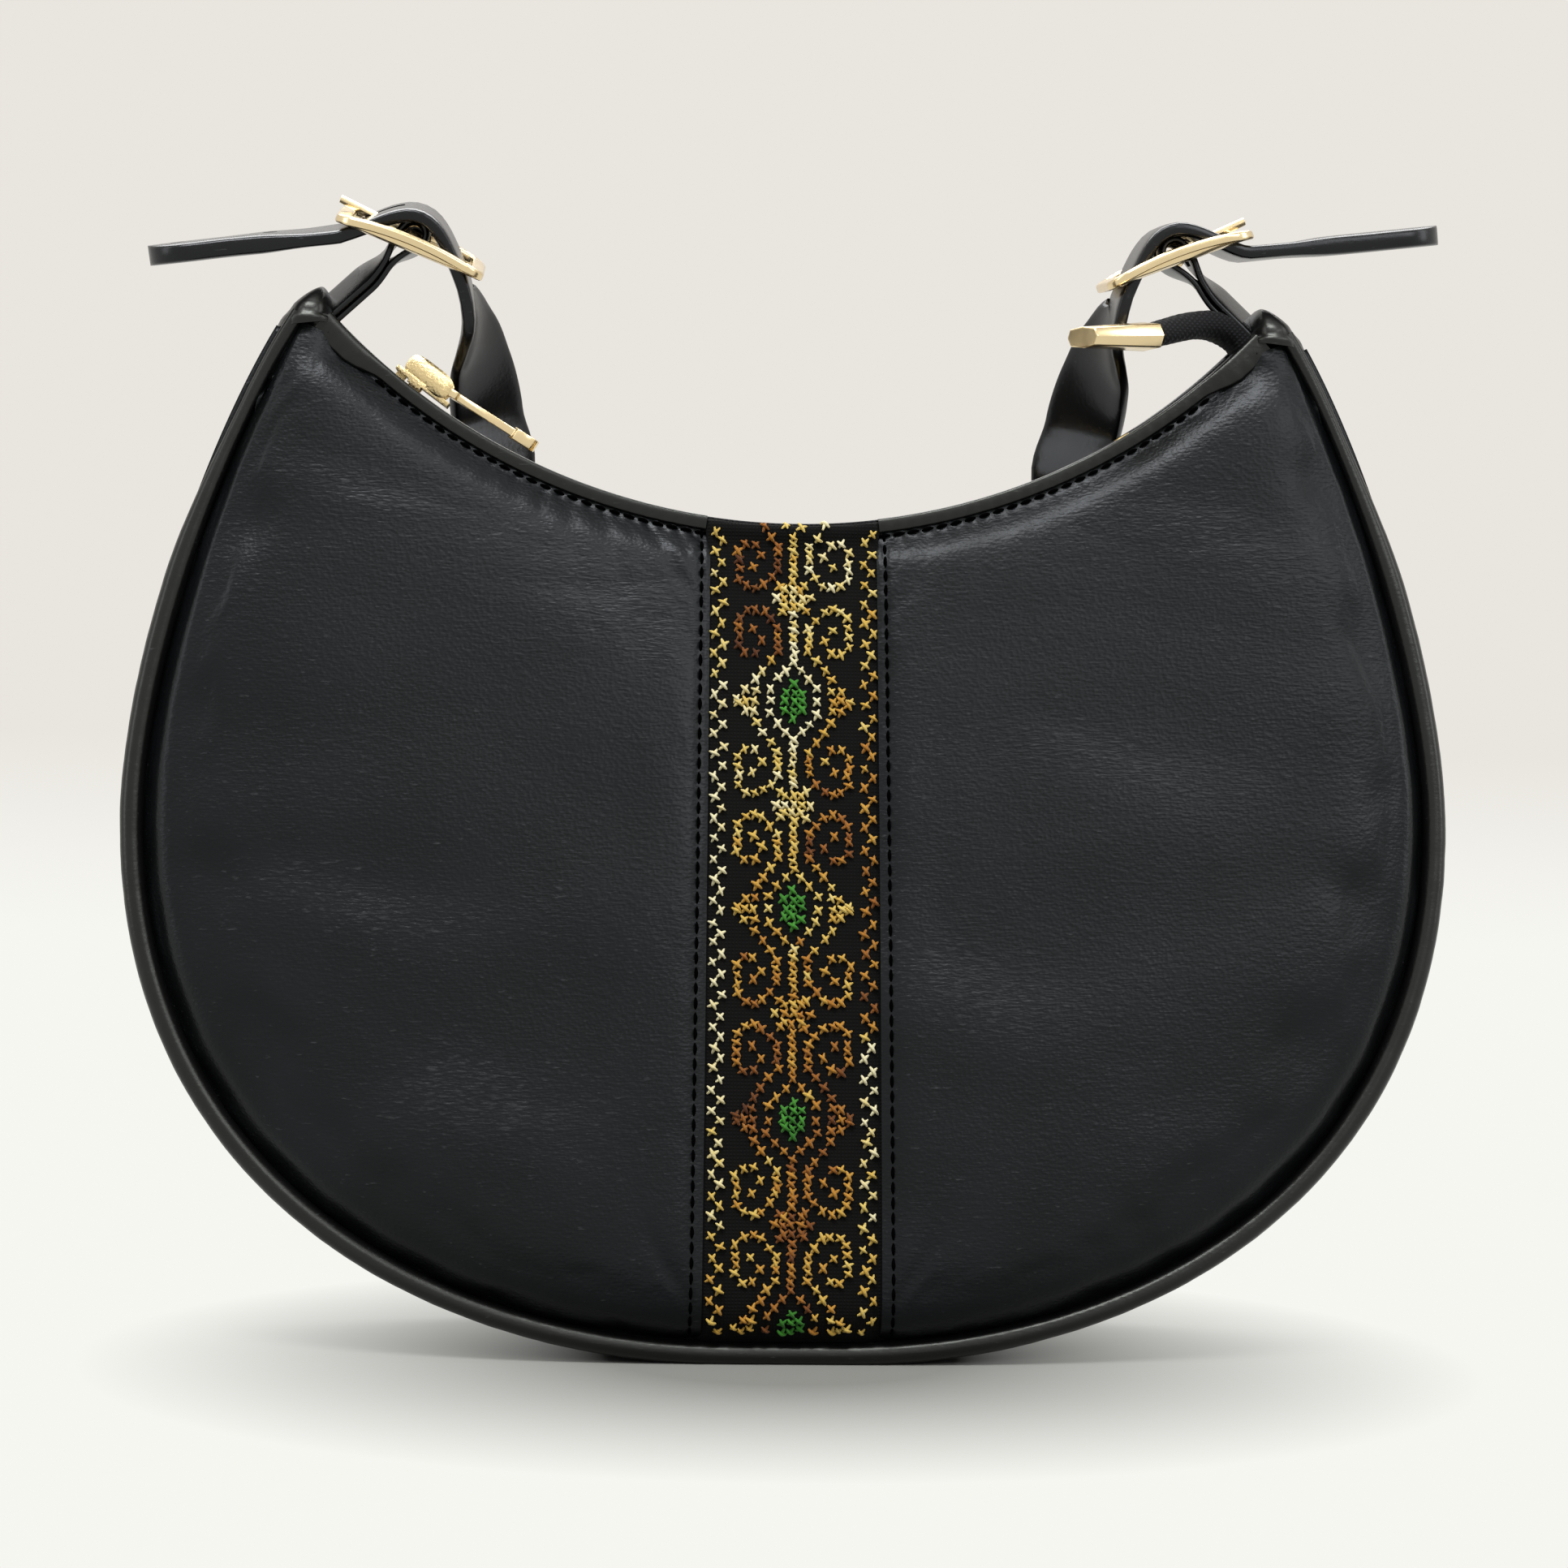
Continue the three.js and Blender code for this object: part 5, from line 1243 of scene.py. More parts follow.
# %% Castings with rounded edges
def softened(name, node, width_mm, finish, body, slot, segments=2, sharp=32):
    """A copy of a solid, cleaned, with its edges rounded."""
    work = bmesh.new()
    work.from_mesh(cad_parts[node].data)
    bmesh.ops.remove_doubles(work, verts=work.verts, dist=0.004 * MM)
    bmesh.ops.dissolve_limit(
        work, angle_limit=math.radians(2), verts=work.verts, edges=work.edges, delimit=set()
    )
    edges = [e for e in work.edges if len(e.link_faces) == 2 and e.calc_face_angle() > math.radians(24)]
    bmesh.ops.bevel(
        work,
        geom=edges,
        offset=width_mm * MM,
        segments=segments,
        profile=0.5,
        affect="EDGES",
        clamp_overlap=True,
    )
    mesh = bpy.data.meshes.new(name)
    work.to_mesh(mesh)
    work.free()
    mesh.shade_smooth()
    mesh.set_sharp_from_angle(angle=math.radians(sharp))
    return hand_over(linked(name, mesh), finish, body, slot, node)


softened("slider_metal", "zip_slider", 0.25, BLASTED, "zip_slider", "gold_metal")
softened("pull_metal", "zip_pull", 0.3, CHAMPAGNE, "zip_pull", "gold_metal")
for stop in ("zip_top_stop_front", "zip_top_stop_back", "zip_bottom_stop"):
    clip = softened(stop.replace("zip_", "chain_"), stop, 0.25, BRASS, "bag", "zip_metal")
    clip.data.transform(Matrix.Translation((0, 0, CHAIN_LIFT * MM)))  # level with the low teeth

# %% Cheeks of the slider
SLIDER_ANGLE = -36.44
CHEEK_HALF_LENGTH, CHEEK_LOW, CHEEK_HIGH = 5.3, 1.5, 6.7
CHEEK_SECTION = ((3.1, 0.9), (3.3, 1.0), (3.9, 1.0), (4.3, 0.84))  # distance from the middle, outline
a, b = super_ring(36, 3.4)
turn = math.radians(SLIDER_ANGLE)
for side, face_name in ((FRONT, "front"), (BACK, "back")):
    rings = []
    for off, outline in CHEEK_SECTION:
        along = CHEEK_HALF_LENGTH * outline * a
        x, z = mouth(SLIDER_ANGLE, lerp(CHEEK_LOW, CHEEK_HIGH, 0.5 + 0.5 * outline * b))
        ring = (x + math.cos(turn) * along, 0 * a + side * off, z + math.sin(turn) * along)
        rings.append(np.stack(ring, -1))
    cheek = ring_piece(f"slider_cheek_{face_name}", np.array(rings), sharp=40)
    hand_over(cheek, BLASTED, "zip_slider", "gold_metal")

# %% [markdown]
# ## Zip tail
# The tapes' end comes out at the right horn as a short padded tube of the same weave, folded back over
# the mouth, and ends in a faceted metal cap. The tube bends where it leaves the horn.


# %% Zip tail
def smooth_path(points, steps):
    """Points on a Catmull-Rom curve through the given ones."""
    p = np.array(points, float)
    p = np.concatenate([[2 * p[0] - p[1]], p, [2 * p[-1] - p[-2]]])
    t = np.linspace(0, 1, steps, endpoint=False)[:, None]
    parts = []
    for a, b, c, d in zip(p[:-3], p[1:-2], p[2:-1], p[3:]):
        slope_b, slope_c = (c - a) / 2, (d - b) / 2
        parts.append(
            b
            + slope_b * t
            + (3 * (c - b) - 2 * slope_b - slope_c) * t**2
            + (2 * (b - c) + slope_b + slope_c) * t**3
        )
    return np.concatenate([*parts, p[-2:-1]])


def band_rings(at, across, half_width, half_thickness, count=20, power=4.0):
    """Rings of a flat band along points, with one width for each point."""
    along = np.gradient(at, axis=0)
    along /= np.linalg.norm(along, axis=1, keepdims=True)
    wide = across - along * np.sum(across * along, axis=1, keepdims=True)
    wide /= np.linalg.norm(wide, axis=1, keepdims=True)
    up = np.cross(along, wide)
    a, b = super_ring(count, power)
    return (
        at[:, None]
        + wide[:, None] * (a[None, :] * half_width[:, None])[..., None]
        + up[:, None] * (b[None, :] * half_thickness[:, None])[..., None]
    )


TAIL_ROUTE = (  # from inside the horn's wrap, over the mouth's end and into the cap
    (94.5, 0, 208.0),
    (91.5, -0.3, 210.8),
    (87.0, -1.4, 212.4),
    (82.6, -3.3, 212.2),
    (78.2, -6.2, 211.0),
    (73.8, -9.2, 209.6),
    (71.0, -11.2, 209.1),
)
TAIL_HALF_WIDTH, TAIL_HALF_THICKNESS = (5.4, 4.6), (3.3, 2.35)  # at the horn and at the cap


def blended(obj, finish, body, start, end, node):
    """Gives a piece its material, bakes its place into its mesh and hides the solid it stands for. body
    only names it in the printout; start and end, in m, are not used.
    """
    obj.data.materials.append(finish)
    tuple(start)
    tuple(end)
    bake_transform(obj)
    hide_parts(node)
    print(f"{obj.name}: {len(obj.data.polygons)} faces from the bag to {body}")


tail_at = smooth_path(TAIL_ROUTE, 10)
share = np.linspace(0, 1, len(tail_at))
level = np.cross(np.gradient(tail_at, axis=0), (0, 0, 1.0))
weave = 1 + 0.02 * np.sin(np.arange(len(tail_at)) * 1.9)
tail_width, tail_thickness = lerp(*TAIL_HALF_WIDTH, share), lerp(*TAIL_HALF_THICKNESS, share) * weave
tail = ring_piece("tail_tube", band_rings(tail_at, level, tail_width, tail_thickness, 32, 2.6))
blended(tail, TAPE_CLOTH, "zip_tail", tail_at[8] * MM, tail_at[26] * MM, "zip_tail")
softened("tail_cap_metal", "zip_end_cap", 0.3, CHAMPAGNE, "zip_tail", "gold_metal", 2, 25)

# %% [markdown]
# ## Buckles, prongs and tabs
# A buckle is a flat frame with two windows, bowed along its length, its edges rounded in the casting.
# A flat curve with holes gives the frame: filled, extruded and bevelled in one go, and then bowed as
# a mesh. The leather tab is a strip bent round the buckle's middle bar.

# %% Buckle frames
BAR_AT = np.array([79.0, 0, 225.5])
BUCKLE_HALF, BUCKLE_HALF_WIDTH, BUCKLE_BAR = 16.0, 12.5, 3.0
BUCKLE_BOW, BUCKLE_THICKNESS = 1.8, 1.9
BUCKLE_SLOPE = math.radians(21.2)
BUCKLE_TILT = {"left": math.radians(12), "right": math.radians(4)}
HAND = {"left": -1, "right": 1}
CAST_ROUND = 0.6
BUCKLE_CORNER, WINDOW_CORNER = 4.5, 1.0


def buckle_frame(hand):
    """Placement of a buckle in mm: x falls to the bag's middle, y is its bar, z stands out."""
    place = Matrix.Translation((HAND[hand] * BAR_AT[0], 0, BAR_AT[2]))
    place = place @ Matrix.Rotation(BUCKLE_TILT[hand], 4, "X")
    place = place @ Matrix.Rotation(-HAND[hand] * BUCKLE_SLOPE, 4, "Y")
    if hand == "right":
        place = place @ Matrix.Rotation(math.pi, 4, "Z")
    return place


def round_rectangle(x_low, x_high, y_half, corner, step=1.0):
    """A rectangle with round corners as points about a step apart."""
    centres = ((x_high, y_half, 0), (x_low, y_half, 90), (x_low, -y_half, 180), (x_high, -y_half, 270))
    points = []
    for x, y, start in centres:
        cx = x - math.copysign(corner, x - (x_low + x_high) / 2)
        cy = y - math.copysign(corner, y)
        for k in range(7):
            turn = math.radians(start + 15 * k)
            points.append((cx + corner * math.cos(turn), cy + corner * math.sin(turn)))
    dense = []
    for a, b in zip(points, points[1:] + points[:1]):
        parts = max(1, round(math.dist(a, b) / step))
        dense += [tuple(lerp(np.array(a), np.array(b), k / parts)) for k in range(parts)]
    return dense


def buckle(hand):
    flat = bpy.data.curves.new("buckle", "CURVE")
    flat.dimensions, flat.fill_mode = "2D", "BOTH"
    flat.extrude = (BUCKLE_THICKNESS / 2 - CAST_ROUND) * MM
    flat.bevel_depth, flat.bevel_resolution = CAST_ROUND * MM, 3
    near, far = BUCKLE_BAR / 2 - CAST_ROUND, BUCKLE_HALF - BUCKLE_BAR + CAST_ROUND
    inner = BUCKLE_HALF_WIDTH - BUCKLE_BAR + CAST_ROUND
    end, outer = BUCKLE_HALF - CAST_ROUND, BUCKLE_HALF_WIDTH - CAST_ROUND
    loops = [
        round_rectangle(-end, end, outer, BUCKLE_CORNER),
        round_rectangle(near, far, inner, WINDOW_CORNER + CAST_ROUND),
        round_rectangle(-far, -near, inner, WINDOW_CORNER + CAST_ROUND),
    ]
    for loop in loops:
        spline = flat.splines.new("POLY")
        spline.points.add(len(loop) - 1)
        spline.points.foreach_set("co", [c for x, y in loop for c in (x * MM, y * MM, 0, 1)])
        spline.use_cyclic_u = True
    shape = linked("buckle", flat)
    graph = bpy.context.evaluated_depsgraph_get()
    mesh = bpy.data.meshes.new_from_object(shape.evaluated_get(graph), depsgraph=graph)
    bpy.data.objects.remove(shape)
    frame_here = buckle_frame(hand)
    for vertex in mesh.vertices:
        local = vertex.co / MM
        local.z += BUCKLE_BOW * (1 - (local.x / BUCKLE_HALF) ** 2)
        vertex.co = (frame_here @ local) * MM
    work = bmesh.new()
    work.from_mesh(mesh)
    bmesh.ops.remove_doubles(work, verts=work.verts, dist=0.004 * MM)
    work.to_mesh(mesh)
    work.free()
    made = closed_out(linked(f"buckle_metal_{hand}", mesh), 40)
    return hand_over(made, CHAMPAGNE, "strap", "gold_metal", f"buckle_{hand}")


for hand in HAND:
    buckle(hand)
    prong = f"prong_{hand}"
    softened(f"prong_metal_{hand}", prong, 0.3, CHAMPAGNE, prong, "gold_metal", 2, 45)

# %% Tabs
def punch(obj, tool):
    """Cuts a tool's shape out of a piece."""
    cut = obj.modifiers.new("cut", "BOOLEAN")
    cut.object, cut.operation, cut.solver = tool, "DIFFERENCE", "EXACT"
    baked(obj)
    bpy.data.objects.remove(tool)


TAB_HALF_WIDTH, TAB_LEATHER = 5.5, 1.6
LOOP_INNER = 1.75
TAB_ROOT = np.array([96.0, 210.8])  # inside the wrapped horn
TAB_CLOSED = 9.0  # mm from the bar to where both layers lie together
TAB_TWIST = math.radians(26)
TAB_BENDS = 0.25, 0.85  # shares of the way from the horn to the bar between which it bends
NOTCH = (-6, -2.1, -3), (6, 2.1, 6)


def leather_tab(hand):
    """A strip up from the horn, round the bar and back down, both layers pressed together."""
    slope = np.array([-math.sin(BUCKLE_SLOPE), math.cos(BUCKLE_SLOPE)])
    bar = np.array([BAR_AT[0], BAR_AT[2]]) + slope * BUCKLE_BOW
    length = np.linalg.norm(TAB_ROOT - bar)
    way = (TAB_ROOT - bar) / length
    along, aside = np.array([way[0], 0, way[1]]), np.array([-way[1], 0, way[0]])
    deep = np.array([0, 1.0, 0])
    middle = np.array([bar[0], 0, bar[1]])
    radius = LOOP_INNER + TAB_LEATHER / 2
    down = np.linspace(0, length, 24)[:, None]
    gap = lerp(radius, 0.47 * TAB_LEATHER, smoothstep(down, 0, TAB_CLOSED))
    twist = TAB_TWIST * smoothstep(down, 2, 14)
    off = np.cos(twist) * aside - np.sin(twist) * deep
    wide = np.sin(twist) * aside + np.cos(twist) * deep
    turn = np.linspace(-math.pi / 2, math.pi / 2, 20)[1:-1, None]
    loop = middle + radius * (np.sin(turn) * aside - np.cos(turn) * along)
    legs = [middle + along * down + hand_side * off * gap for hand_side in (-1, 1)]
    at = np.concatenate([legs[0][::-1], loop, legs[1]])
    across = np.concatenate([wide[::-1], np.tile(deep, (len(loop), 1)), wide])
    mirror = np.array([HAND[hand], 1, 1])
    whole = np.ones(len(at))
    strip_rings = band_rings(
        at * mirror, across * mirror, TAB_HALF_WIDTH * whole, TAB_LEATHER / 2 * whole, 24, 4.0
    )
    obj = ring_piece(f"tab_leather_{hand}", strip_rings)
    notch = rounded_block("notch", *NOTCH, 0.2)  # room for the prong's eye
    notch.data.transform(
        Matrix.Translation((HAND[hand] * bar[0] * MM, 0, (bar[1] + 0.6) * MM))
        @ Matrix.Rotation(BUCKLE_TILT[hand], 4, "X")
    )
    punch(obj, notch)
    root_at, bar_at = (Vector((HAND[hand] * x, 0, z)) * MM for x, z in (TAB_ROOT, bar))
    start, end = (lerp(root_at, bar_at, share) for share in TAB_BENDS)
    blended(obj, STRAP_LEATHER, "strap", start, end, f"strap_tab_{hand}")


for hand in HAND:
    leather_tab(hand)

# %% [markdown]
# ## Shoulder strap
# The strap is one long flat band of thick leather. Both ends pass up through a buckle, over its bar and
# down again, and end in a round tip with two punched holes. The rest hangs behind the bag as a loop.
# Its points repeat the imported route. A smooth curve runs through them, a rounded section is carried
# along it, and the holes and the prongs' slots are cut out.

# %% Strap route
STRAP_HALF_WIDTH, STRAP_HALF_THICKNESS = 9.0, 1.5
THREADED = (  # way through a buckle, from the tail: along its plane and over it
    (-12.9, -2.6),
    (-9.0, 0.9),
    (-5.2, 4.4),
    (-1.8, 6.3),
    (1.8, 6.3),
    (5.2, 4.4),
    (9.0, 0.9),
    (12.5, -2.8),
    (15.0, -6.4),
)
STRAP_TAIL = {"left": 37, "right": 39}
TAIL_DROOP = {"left": math.radians(8), "right": math.radians(-7)}
TAIL_EXIT = {"left": (-16.0, -4.7), "right": (-16.0, -3.8)}
TAIL_TILT = {"left": math.radians(8.5), "right": math.radians(6)}
LEG_SHARE, DROP_SHARE, STRAP_TWIST = 0.53, 0.62, math.radians(52)
STRAP_CLEAR, LEG_CLEAR = 1, 2.7  # mm off the back, and how much more at the loop's upper ends


def strap_end(hand):
    place = buckle_frame(hand)
    across, lean = (
        np.array([0, math.cos(tilt), math.sin(tilt)]) for tilt in (BUCKLE_TILT[hand], TAIL_TILT[hand])
    )
    threaded = [np.array(place @ Vector((x, 0, z))) for x, z in (TAIL_EXIT[hand], *THREADED)]
    droop, length = TAIL_DROOP[hand], STRAP_TAIL[hand]
    outwards = np.array([HAND[hand] * math.cos(droop), 0, -math.sin(droop)])
    tail = [(threaded[0] + outwards * run, lean) for run in (length, length - 9, length / 2)]
    return tail + [(at, across) for at in threaded]


def strap_loop():
    for k in range(13):
        turn = math.pi * k / 12
        leg = math.cos(turn)
        s, v = np.array(-LEG_SHARE * leg), np.array(DROP_SHARE * math.sin(turn))
        x, depth, z = face(s, v, LOOSE_FALL)
        twist = STRAP_TWIST * leg**2
        reach = STRAP_HALF_WIDTH * math.cos(twist) + STRAP_HALF_THICKNESS * math.sin(twist)
        away = float(depth) + LEG_CLEAR * leg**4 + STRAP_CLEAR + reach
        at = np.array([float(x), away, float(z)])
        yield at, np.array([np.sign(leg) * math.sin(twist), math.cos(twist), 0])


def strap_lean(start, goal, hand):
    for down, back, turned in ((0.16, 0.26, 0.3), (0.36, 0.58, 0.65), (0.66, 0.93, 0.95)):
        at = lerp(start[0], goal[0], down)
        at[1] = lerp(start[0][1], goal[0][1], back)
        twist = STRAP_TWIST * turned
        yield at, np.array([-HAND[hand] * math.sin(twist), math.cos(twist), 0])


left_end, right_end, loop = strap_end("left"), strap_end("right"), list(strap_loop())
route = [*left_end, *strap_lean(left_end[-1], loop[0], "left"), *loop]
route += [*strap_lean(right_end[-1], loop[-1], "right")][::-1] + right_end[::-1]
dense_at = smooth_path([at for at, _ in route], 24)
dense_across = smooth_path([across for _, across in route], 24)
dense_run = np.concatenate([[0], np.cumsum(np.linalg.norm(np.diff(dense_at, axis=0), axis=1))])
print(f"strap length {dense_run[-1]:.0f} mm")

# %% Strap band
STRAP_STEP = 1.6
DOUBLED_HALF = 2.05  # the tails are sewn double
tip_turns = np.linspace(0.06, math.pi / 2, 12)
tip_run = STRAP_HALF_WIDTH * (1 - np.cos(tip_turns))
tip_width = STRAP_HALF_WIDTH * np.sin(tip_turns)
length = dense_run[-1]
body_run = np.arange(tip_run[-1] + STRAP_STEP, length - tip_run[-1] - STRAP_STEP / 2, STRAP_STEP)
strap_run = np.concatenate([tip_run, body_run, length - tip_run[::-1]])
strap_width = np.concatenate([tip_width, np.full(len(body_run), STRAP_HALF_WIDTH), tip_width[::-1]])
strap_at = np.stack([np.interp(strap_run, dense_run, dense_at[:, k]) for k in range(3)], -1)
strap_across = np.stack([np.interp(strap_run, dense_run, dense_across[:, k]) for k in range(3)], -1)
from_end = np.minimum(strap_run, length - strap_run)
strap_thickness = lerp(DOUBLED_HALF, STRAP_HALF_THICKNESS, smoothstep(from_end, 22, 34))
strap_rings = band_rings(strap_at, strap_across, strap_width, strap_thickness, 36, 6.0)
strap = ring_piece("strap_leather", strap_rings, sharp=60)

# %% Holes and slots
HOLE_RADIUS, HOLE_DISTANCES = 1.5, (6, 25)
PRONG_ROOM, PRONG_LIFT, PRONG_REST, SLOT_REACH = 1.7, math.radians(25), 1.22, 20.0


def hole_tool(end, distance):
    inwards = (end[1][0] - end[0][0]) / np.linalg.norm(end[1][0] - end[0][0])
    out = Vector(np.cross(inwards, end[0][1]))
    work = bmesh.new()
    bmesh.ops.create_cone(
        work, cap_ends=True, segments=20, radius1=HOLE_RADIUS * MM, radius2=HOLE_RADIUS * MM, depth=9 * MM
    )
    middle = Vector(end[0][0] + inwards * distance) * MM
    turn = Vector((0, 0, 1)).rotation_difference(out).to_matrix().to_4x4()
    bmesh.ops.transform(work, matrix=Matrix.Translation(middle) @ turn, verts=work.verts)
    mesh = bpy.data.meshes.new("hole")
    work.to_mesh(mesh)
    work.free()
    return linked("hole", mesh)


def slot_tool(hand):
    """The room a prong sweeps as it rises."""
    over = PRONG_REST + PRONG_ROOM
    up_x, up_z = over * math.sin(PRONG_LIFT), over * math.cos(PRONG_LIFT)
    section = [
        (0, -PRONG_ROOM),
        (-SLOT_REACH, -PRONG_ROOM),
        (up_x - SLOT_REACH * math.cos(PRONG_LIFT), up_z + SLOT_REACH * math.sin(PRONG_LIFT)),
        (up_x, up_z),
    ]
    place = buckle_frame(hand)
    rings = [
        [np.array(place @ Vector((x, y, z + BUCKLE_BOW))) for x, z in section]
        for y in (-PRONG_ROOM, PRONG_ROOM)
    ]
    return ring_piece("slot", np.array(rings), sharp=1)


for hand, end in (("left", left_end), ("right", right_end)):
    for distance in HOLE_DISTANCES:
        punch(strap, hole_tool(end, distance))
    punch(strap, slot_tool(hand))
strap.data.set_sharp_from_angle(angle=math.radians(50))
hand_over(strap, STRAP_LEATHER, "strap", "black_leather", "shoulder_strap")

# %% [markdown]
# ## Inside
# A closed bag hides its padding, board and lining. They are made as the sheets they are, each a given
# depth under the face, and the size that the lining and its slip pocket were cut to is worked out and
# printed.

# %% Padding and lining
FOAM_UNDER, FOAM_THICKNESS = 3.3, 1.5
LINING_UNDER, LINING_THICKNESS = 4.9, 0.5
POCKET_UNDER = 6.0


def sunk_sheet(name, side, s_span, v_span, depth_under, thickness, columns, rows):
    """A sheet that lies a given depth under one face of the bag."""
    s, v = np.meshgrid(np.linspace(*s_span, columns), np.linspace(*v_span, rows))
    x, depth, z = face(s, v, LOOSE_FALL)
    obj = grid_piece(name, np.stack([x, side * (depth - depth_under), z], -1), (0, side, 0))
    return thickened(obj, thickness)


def cut_size(s_span, v_span):
    """Width, length and area in m of the flat cut of a sheet on a face."""
    s, v = np.meshgrid(np.linspace(*s_span, 200), np.linspace(*v_span, 120))
    grid = np.stack(face(s, v, LOOSE_FALL), -1) * MM
    a, b = grid[1:, 1:] - grid[:-1, :-1], grid[1:, :-1] - grid[:-1, 1:]
    area = np.linalg.norm(np.cross(a, b), axis=-1).sum() / 2
    size = grid.reshape(-1, 3).max(0) - grid.reshape(-1, 3).min(0)
    return float(size[0]), float(size[2]), float(area)


def declare_lining(obj, s_span, v_span, rests_on):
    width, height, area = cut_size(s_span, v_span)
    flat = (width, max(height * 1.08, area / width))
    min(area, flat[0] * flat[1])
    print(f"{obj.name}: cut {flat[0] / MM:.0f} x {flat[1] / MM:.0f} mm, {area * 1e4:.0f} cm2")


for side, face_name in ((FRONT, "front"), (BACK, "back")):
    foam_spans = (-0.86, 0.86), (0.07, 0.94)
    pad = sunk_sheet(f"{face_name}_padding", side, *foam_spans, FOAM_UNDER, FOAM_THICKNESS, 60, 40)
    hand_over(pad, FOAM, "bag", "padding", f"{face_name}_foam")
    spans = (-0.9, 0.9), (0.02, 0.99)
    inner = sunk_sheet(f"lining_cloth_{face_name}", side, *spans, LINING_UNDER, LINING_THICKNESS, 60, 40)
    hand_over(inner, LINING_CLOTH, "bag", "lining_cloth", f"lining_{face_name}")
    declare_lining(inner, *spans, f"{face_name}_foam")

pocket_spans = (-0.26, 0.26), (0.2, 0.78)
pocket = sunk_sheet("pocket_cloth", BACK, *pocket_spans, POCKET_UNDER, 0.5, 30, 24)
hand_over(pocket, LINING_CLOTH, "bag", "lining_cloth", "slip_pocket")
declare_lining(pocket, *pocket_spans, "lining_cloth_back")

# %% Lining of the gusset and the base board
LINING_MARGIN, GUSSET_LINING_INSET = 6.0, 1.8
s, t = np.meshgrid(np.linspace(-0.9, 0.9, 240), np.linspace(-1, 1, 9))
x, z = seam(s, GUSSET_LINING_INSET)
grid = np.stack([x, t * (gusset_half(s) - LINING_MARGIN), z], -1)
band = thickened(grid_piece("lining_cloth_gusset", grid, (0, 0, -1)), LINING_THICKNESS)
hand_over(band, LINING_CLOTH, "bag", "lining_cloth", "lining_gusset")
widths = 2 * (gusset_half(s[0]) - LINING_MARGIN) * MM
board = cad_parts["base_stiffener"]
board.data.materials.clear()
board.data.materials.append(BOARD)

# %% [markdown]
# ## Floor and light
# A pale sweep, flat under the bag and rising behind it, gives the background. Near the bag it is plain
# matt paper of a mid grey, which takes the lamps' shadow. That grey, darker than the pale colour
# further off, is also a painted shade round the base. Further off, the camera and the mirror of the
# metal see its pale colour directly, so it stays even, and the world past its edges is as pale for
# them. A soft lamp hangs overhead, a little to the front and left. A larger one behind throws the
# shadow forward. One from the front right gives the leather its sheen, and two weak ones at the sides
# light the rims.

# %% Floor
def shows_background(tree):
    """One for rays that show the background: straight to the camera, off metal or through glass."""
    path = add(tree, "ShaderNodeLightPath")
    shown = path.outputs["Is Camera Ray"]
    for ray in ("Is Glossy Ray", "Is Transmission Ray"):
        shown = calc(tree, "MAXIMUM", shown, path.outputs[ray])
    return shown


SWEEP_FRONT, SWEEP_BACK, SWEEP_RADIUS, SWEEP_TOP, SWEEP_HALF = -1.6, 1.2, 0.8, 2.6, 3.0
SHADE_RISE = 0.1  # m over which the backdrop gets its darker tone
SHADOW_ZONE = 0.03, 0.12  # m from the base where the shadow starts to fade, and where it ends
rise = np.linspace(0, math.pi / 2, 24)
profile = [(SWEEP_FRONT, 0.0), (0.0, 0.0)]
profile += [(SWEEP_BACK + SWEEP_RADIUS * math.sin(a), SWEEP_RADIUS * (1 - math.cos(a))) for a in rise]
profile += [(SWEEP_BACK + SWEEP_RADIUS, SWEEP_TOP)]
across_sweep = (-SWEEP_HALF, SWEEP_HALF)
sweep_grid = np.array([[(x / MM, y / MM, z / MM) for y, z in profile] for x in across_sweep])
sweep = grid_piece("paper_sweep", sweep_grid, (0, -0.5, 1))
paper, tree, shader = material("pale paper", Roughness=1.0, Specular_IOR_Level=0.0)
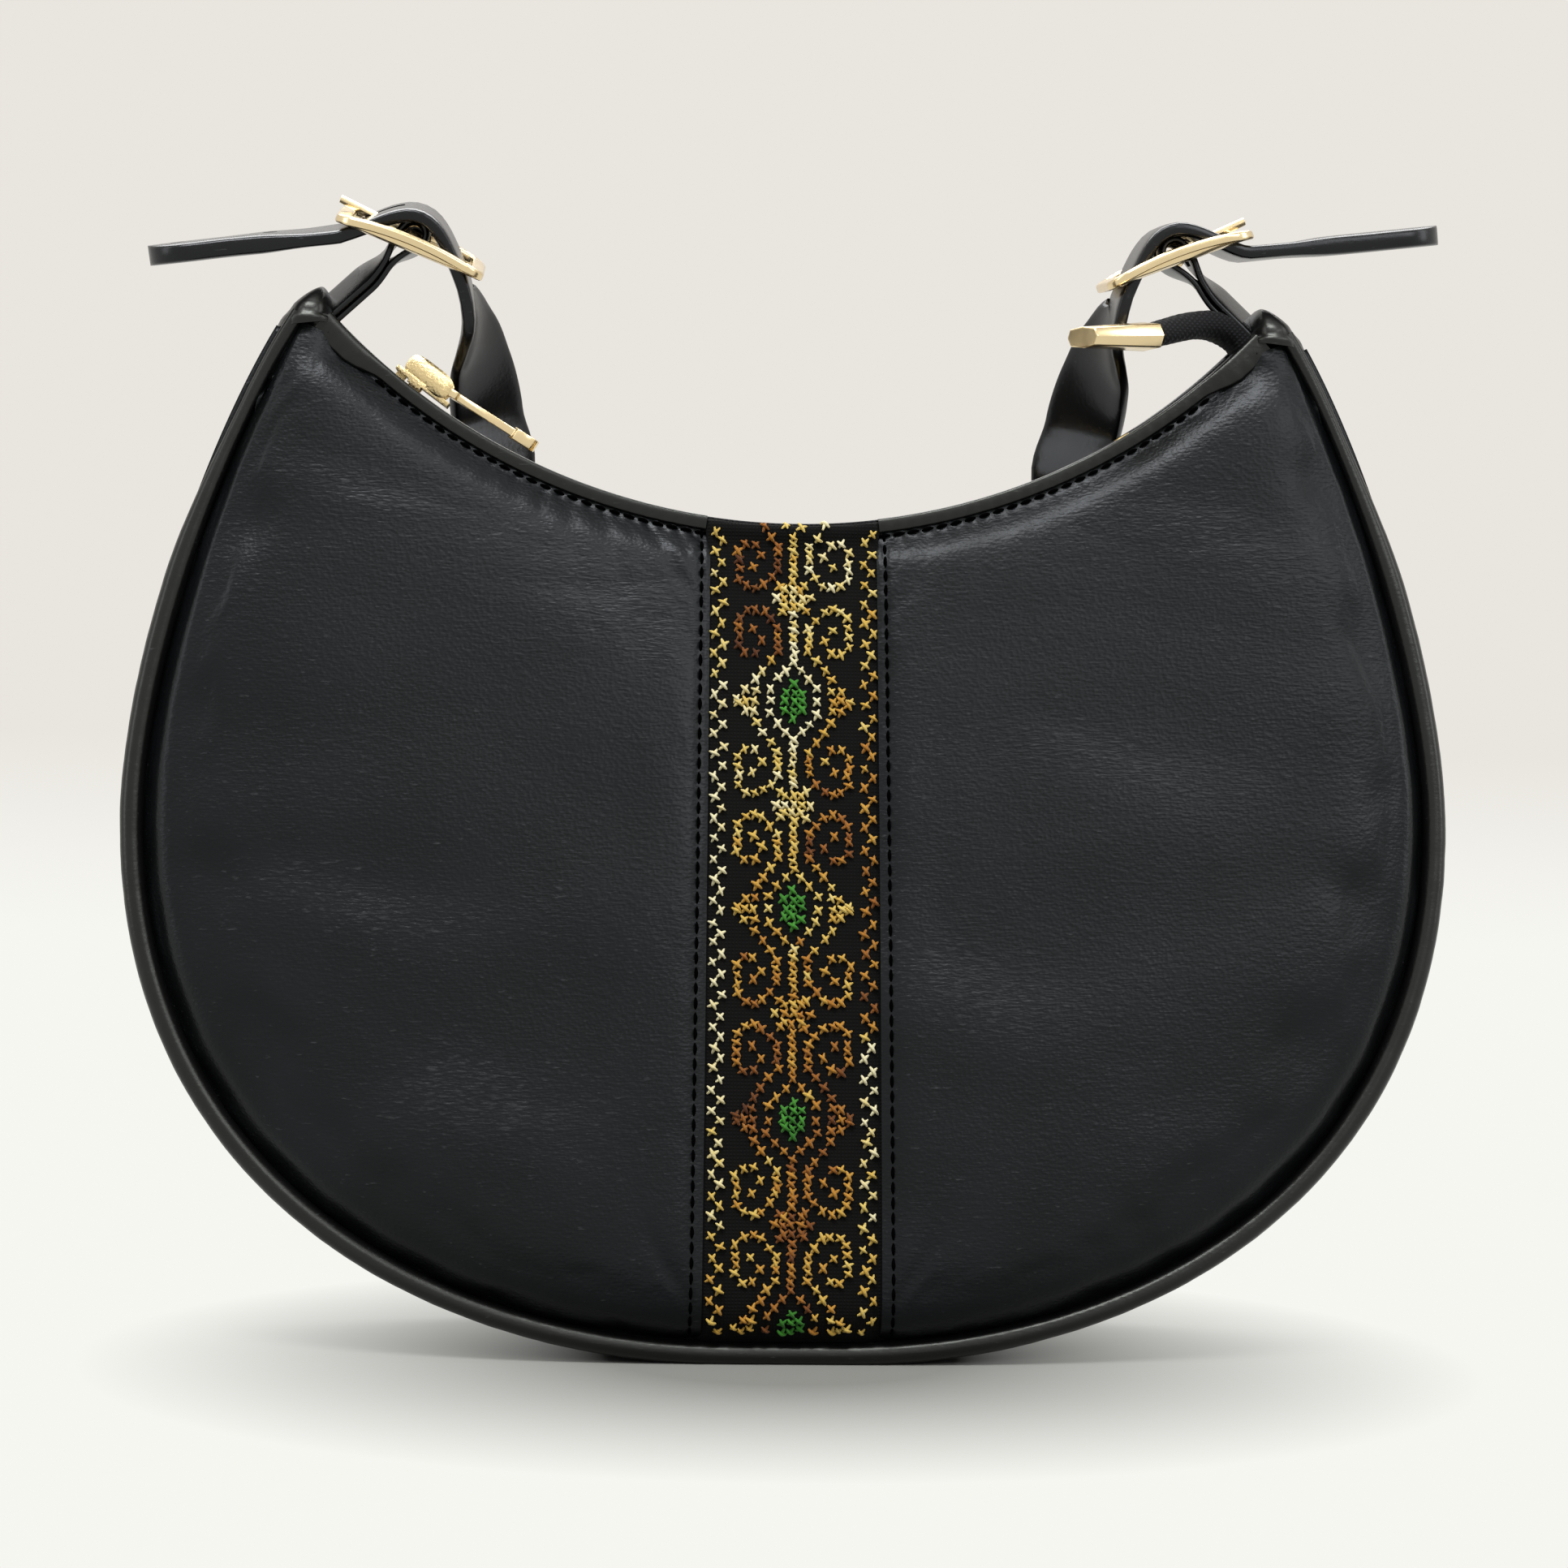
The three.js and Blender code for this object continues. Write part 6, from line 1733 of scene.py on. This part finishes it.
# Painted shade: this mid grey shows near the bag and fades into the pale glow over the shadow zone, so
# the ground is darker round the base beyond the lamps' own shadow.
shader.inputs["Base Color"].default_value = linear("#858581")
spot = spot_of(tree)
apart = add(tree, "ShaderNodeSeparateXYZ", {"Vector": spot})
shade = ramp(tree, ranged(tree, apart.outputs["Z"], 0, SHADE_RISE), ("#f6f6f1", "#e9e5df"))
glow = add(tree, "ShaderNodeEmission", {"Color": shade, "Strength": 1.0})
round_base = {"Vector": spot, "Location": (0, 0.02, 0), "Scale": (0.85, 1, 1)}
near = add(tree, "ShaderNodeMapping", round_base).outputs["Vector"]
distance = add(tree, "ShaderNodeVectorMath", {0: near}, operation="LENGTH").outputs["Value"]
share = calc(tree, "MULTIPLY", shows_background(tree), ranged(tree, distance, *SHADOW_ZONE))
surfaces = {0: share, 1: shader.outputs[0], 2: glow.outputs[0]}
mixed = add(tree, "ShaderNodeMixShader", surfaces)
tree.links.new(mixed.outputs[0], tree.nodes["Material Output"].inputs["Surface"])
sweep.data.materials.append(paper)
print("floor and backdrop in one sweep")

# %% Lamps
world = bpy.data.worlds.new("studio")
world.use_nodes = True
tree = world.node_tree
sky = tree.nodes["Background"]
shown = shows_background(tree)
tones = {0: shown, 6: linear("#e9edf2"), 7: linear("#f4f3ee")}
tone = add(tree, "ShaderNodeMix", tones, data_type="RGBA")
tree.links.new(tone.outputs[2], sky.inputs["Color"])
tree.links.new(ranged(tree, shown, 0, 1, 0.2, 1.0), sky.inputs["Strength"])
scene.world = world
LAMP_AIM = 0.11  # m over the floor, half way up the bag
LAMPS = {  # place, size and power: (x, y, z) m, (wide, high) m, W
    "overhead": ((-0.2, -0.6, 1.1), (0.7, 0.3), 15.0),
    "back": ((0.0, 0.6, 1.05), (1.2, 0.6), 15.0),
    "left": ((-0.95, -0.3, 0.5), (0.3, 0.9), 2.0),
    "right": ((0.95, -0.3, 0.55), (0.3, 0.9), 3.0),
    "front": ((0.65, -1.25, 0.8), (0.8, 0.5), 6.5),
}
for name, (place, size, power) in LAMPS.items():
    lamp = bpy.data.lights.new(name, "AREA")
    lamp.shape, lamp.size, lamp.size_y, lamp.energy = "RECTANGLE", *size, power
    lamp_object = bpy.data.objects.new(name, lamp)
    scene.collection.objects.link(lamp_object)
    lamp_object.location = place
    aim = Vector((0, 0, LAMP_AIM)) - Vector(place)
    lamp_object.rotation_euler = aim.to_track_quat("-Z", "Y").to_euler()
print(len(LAMPS), "lamps")
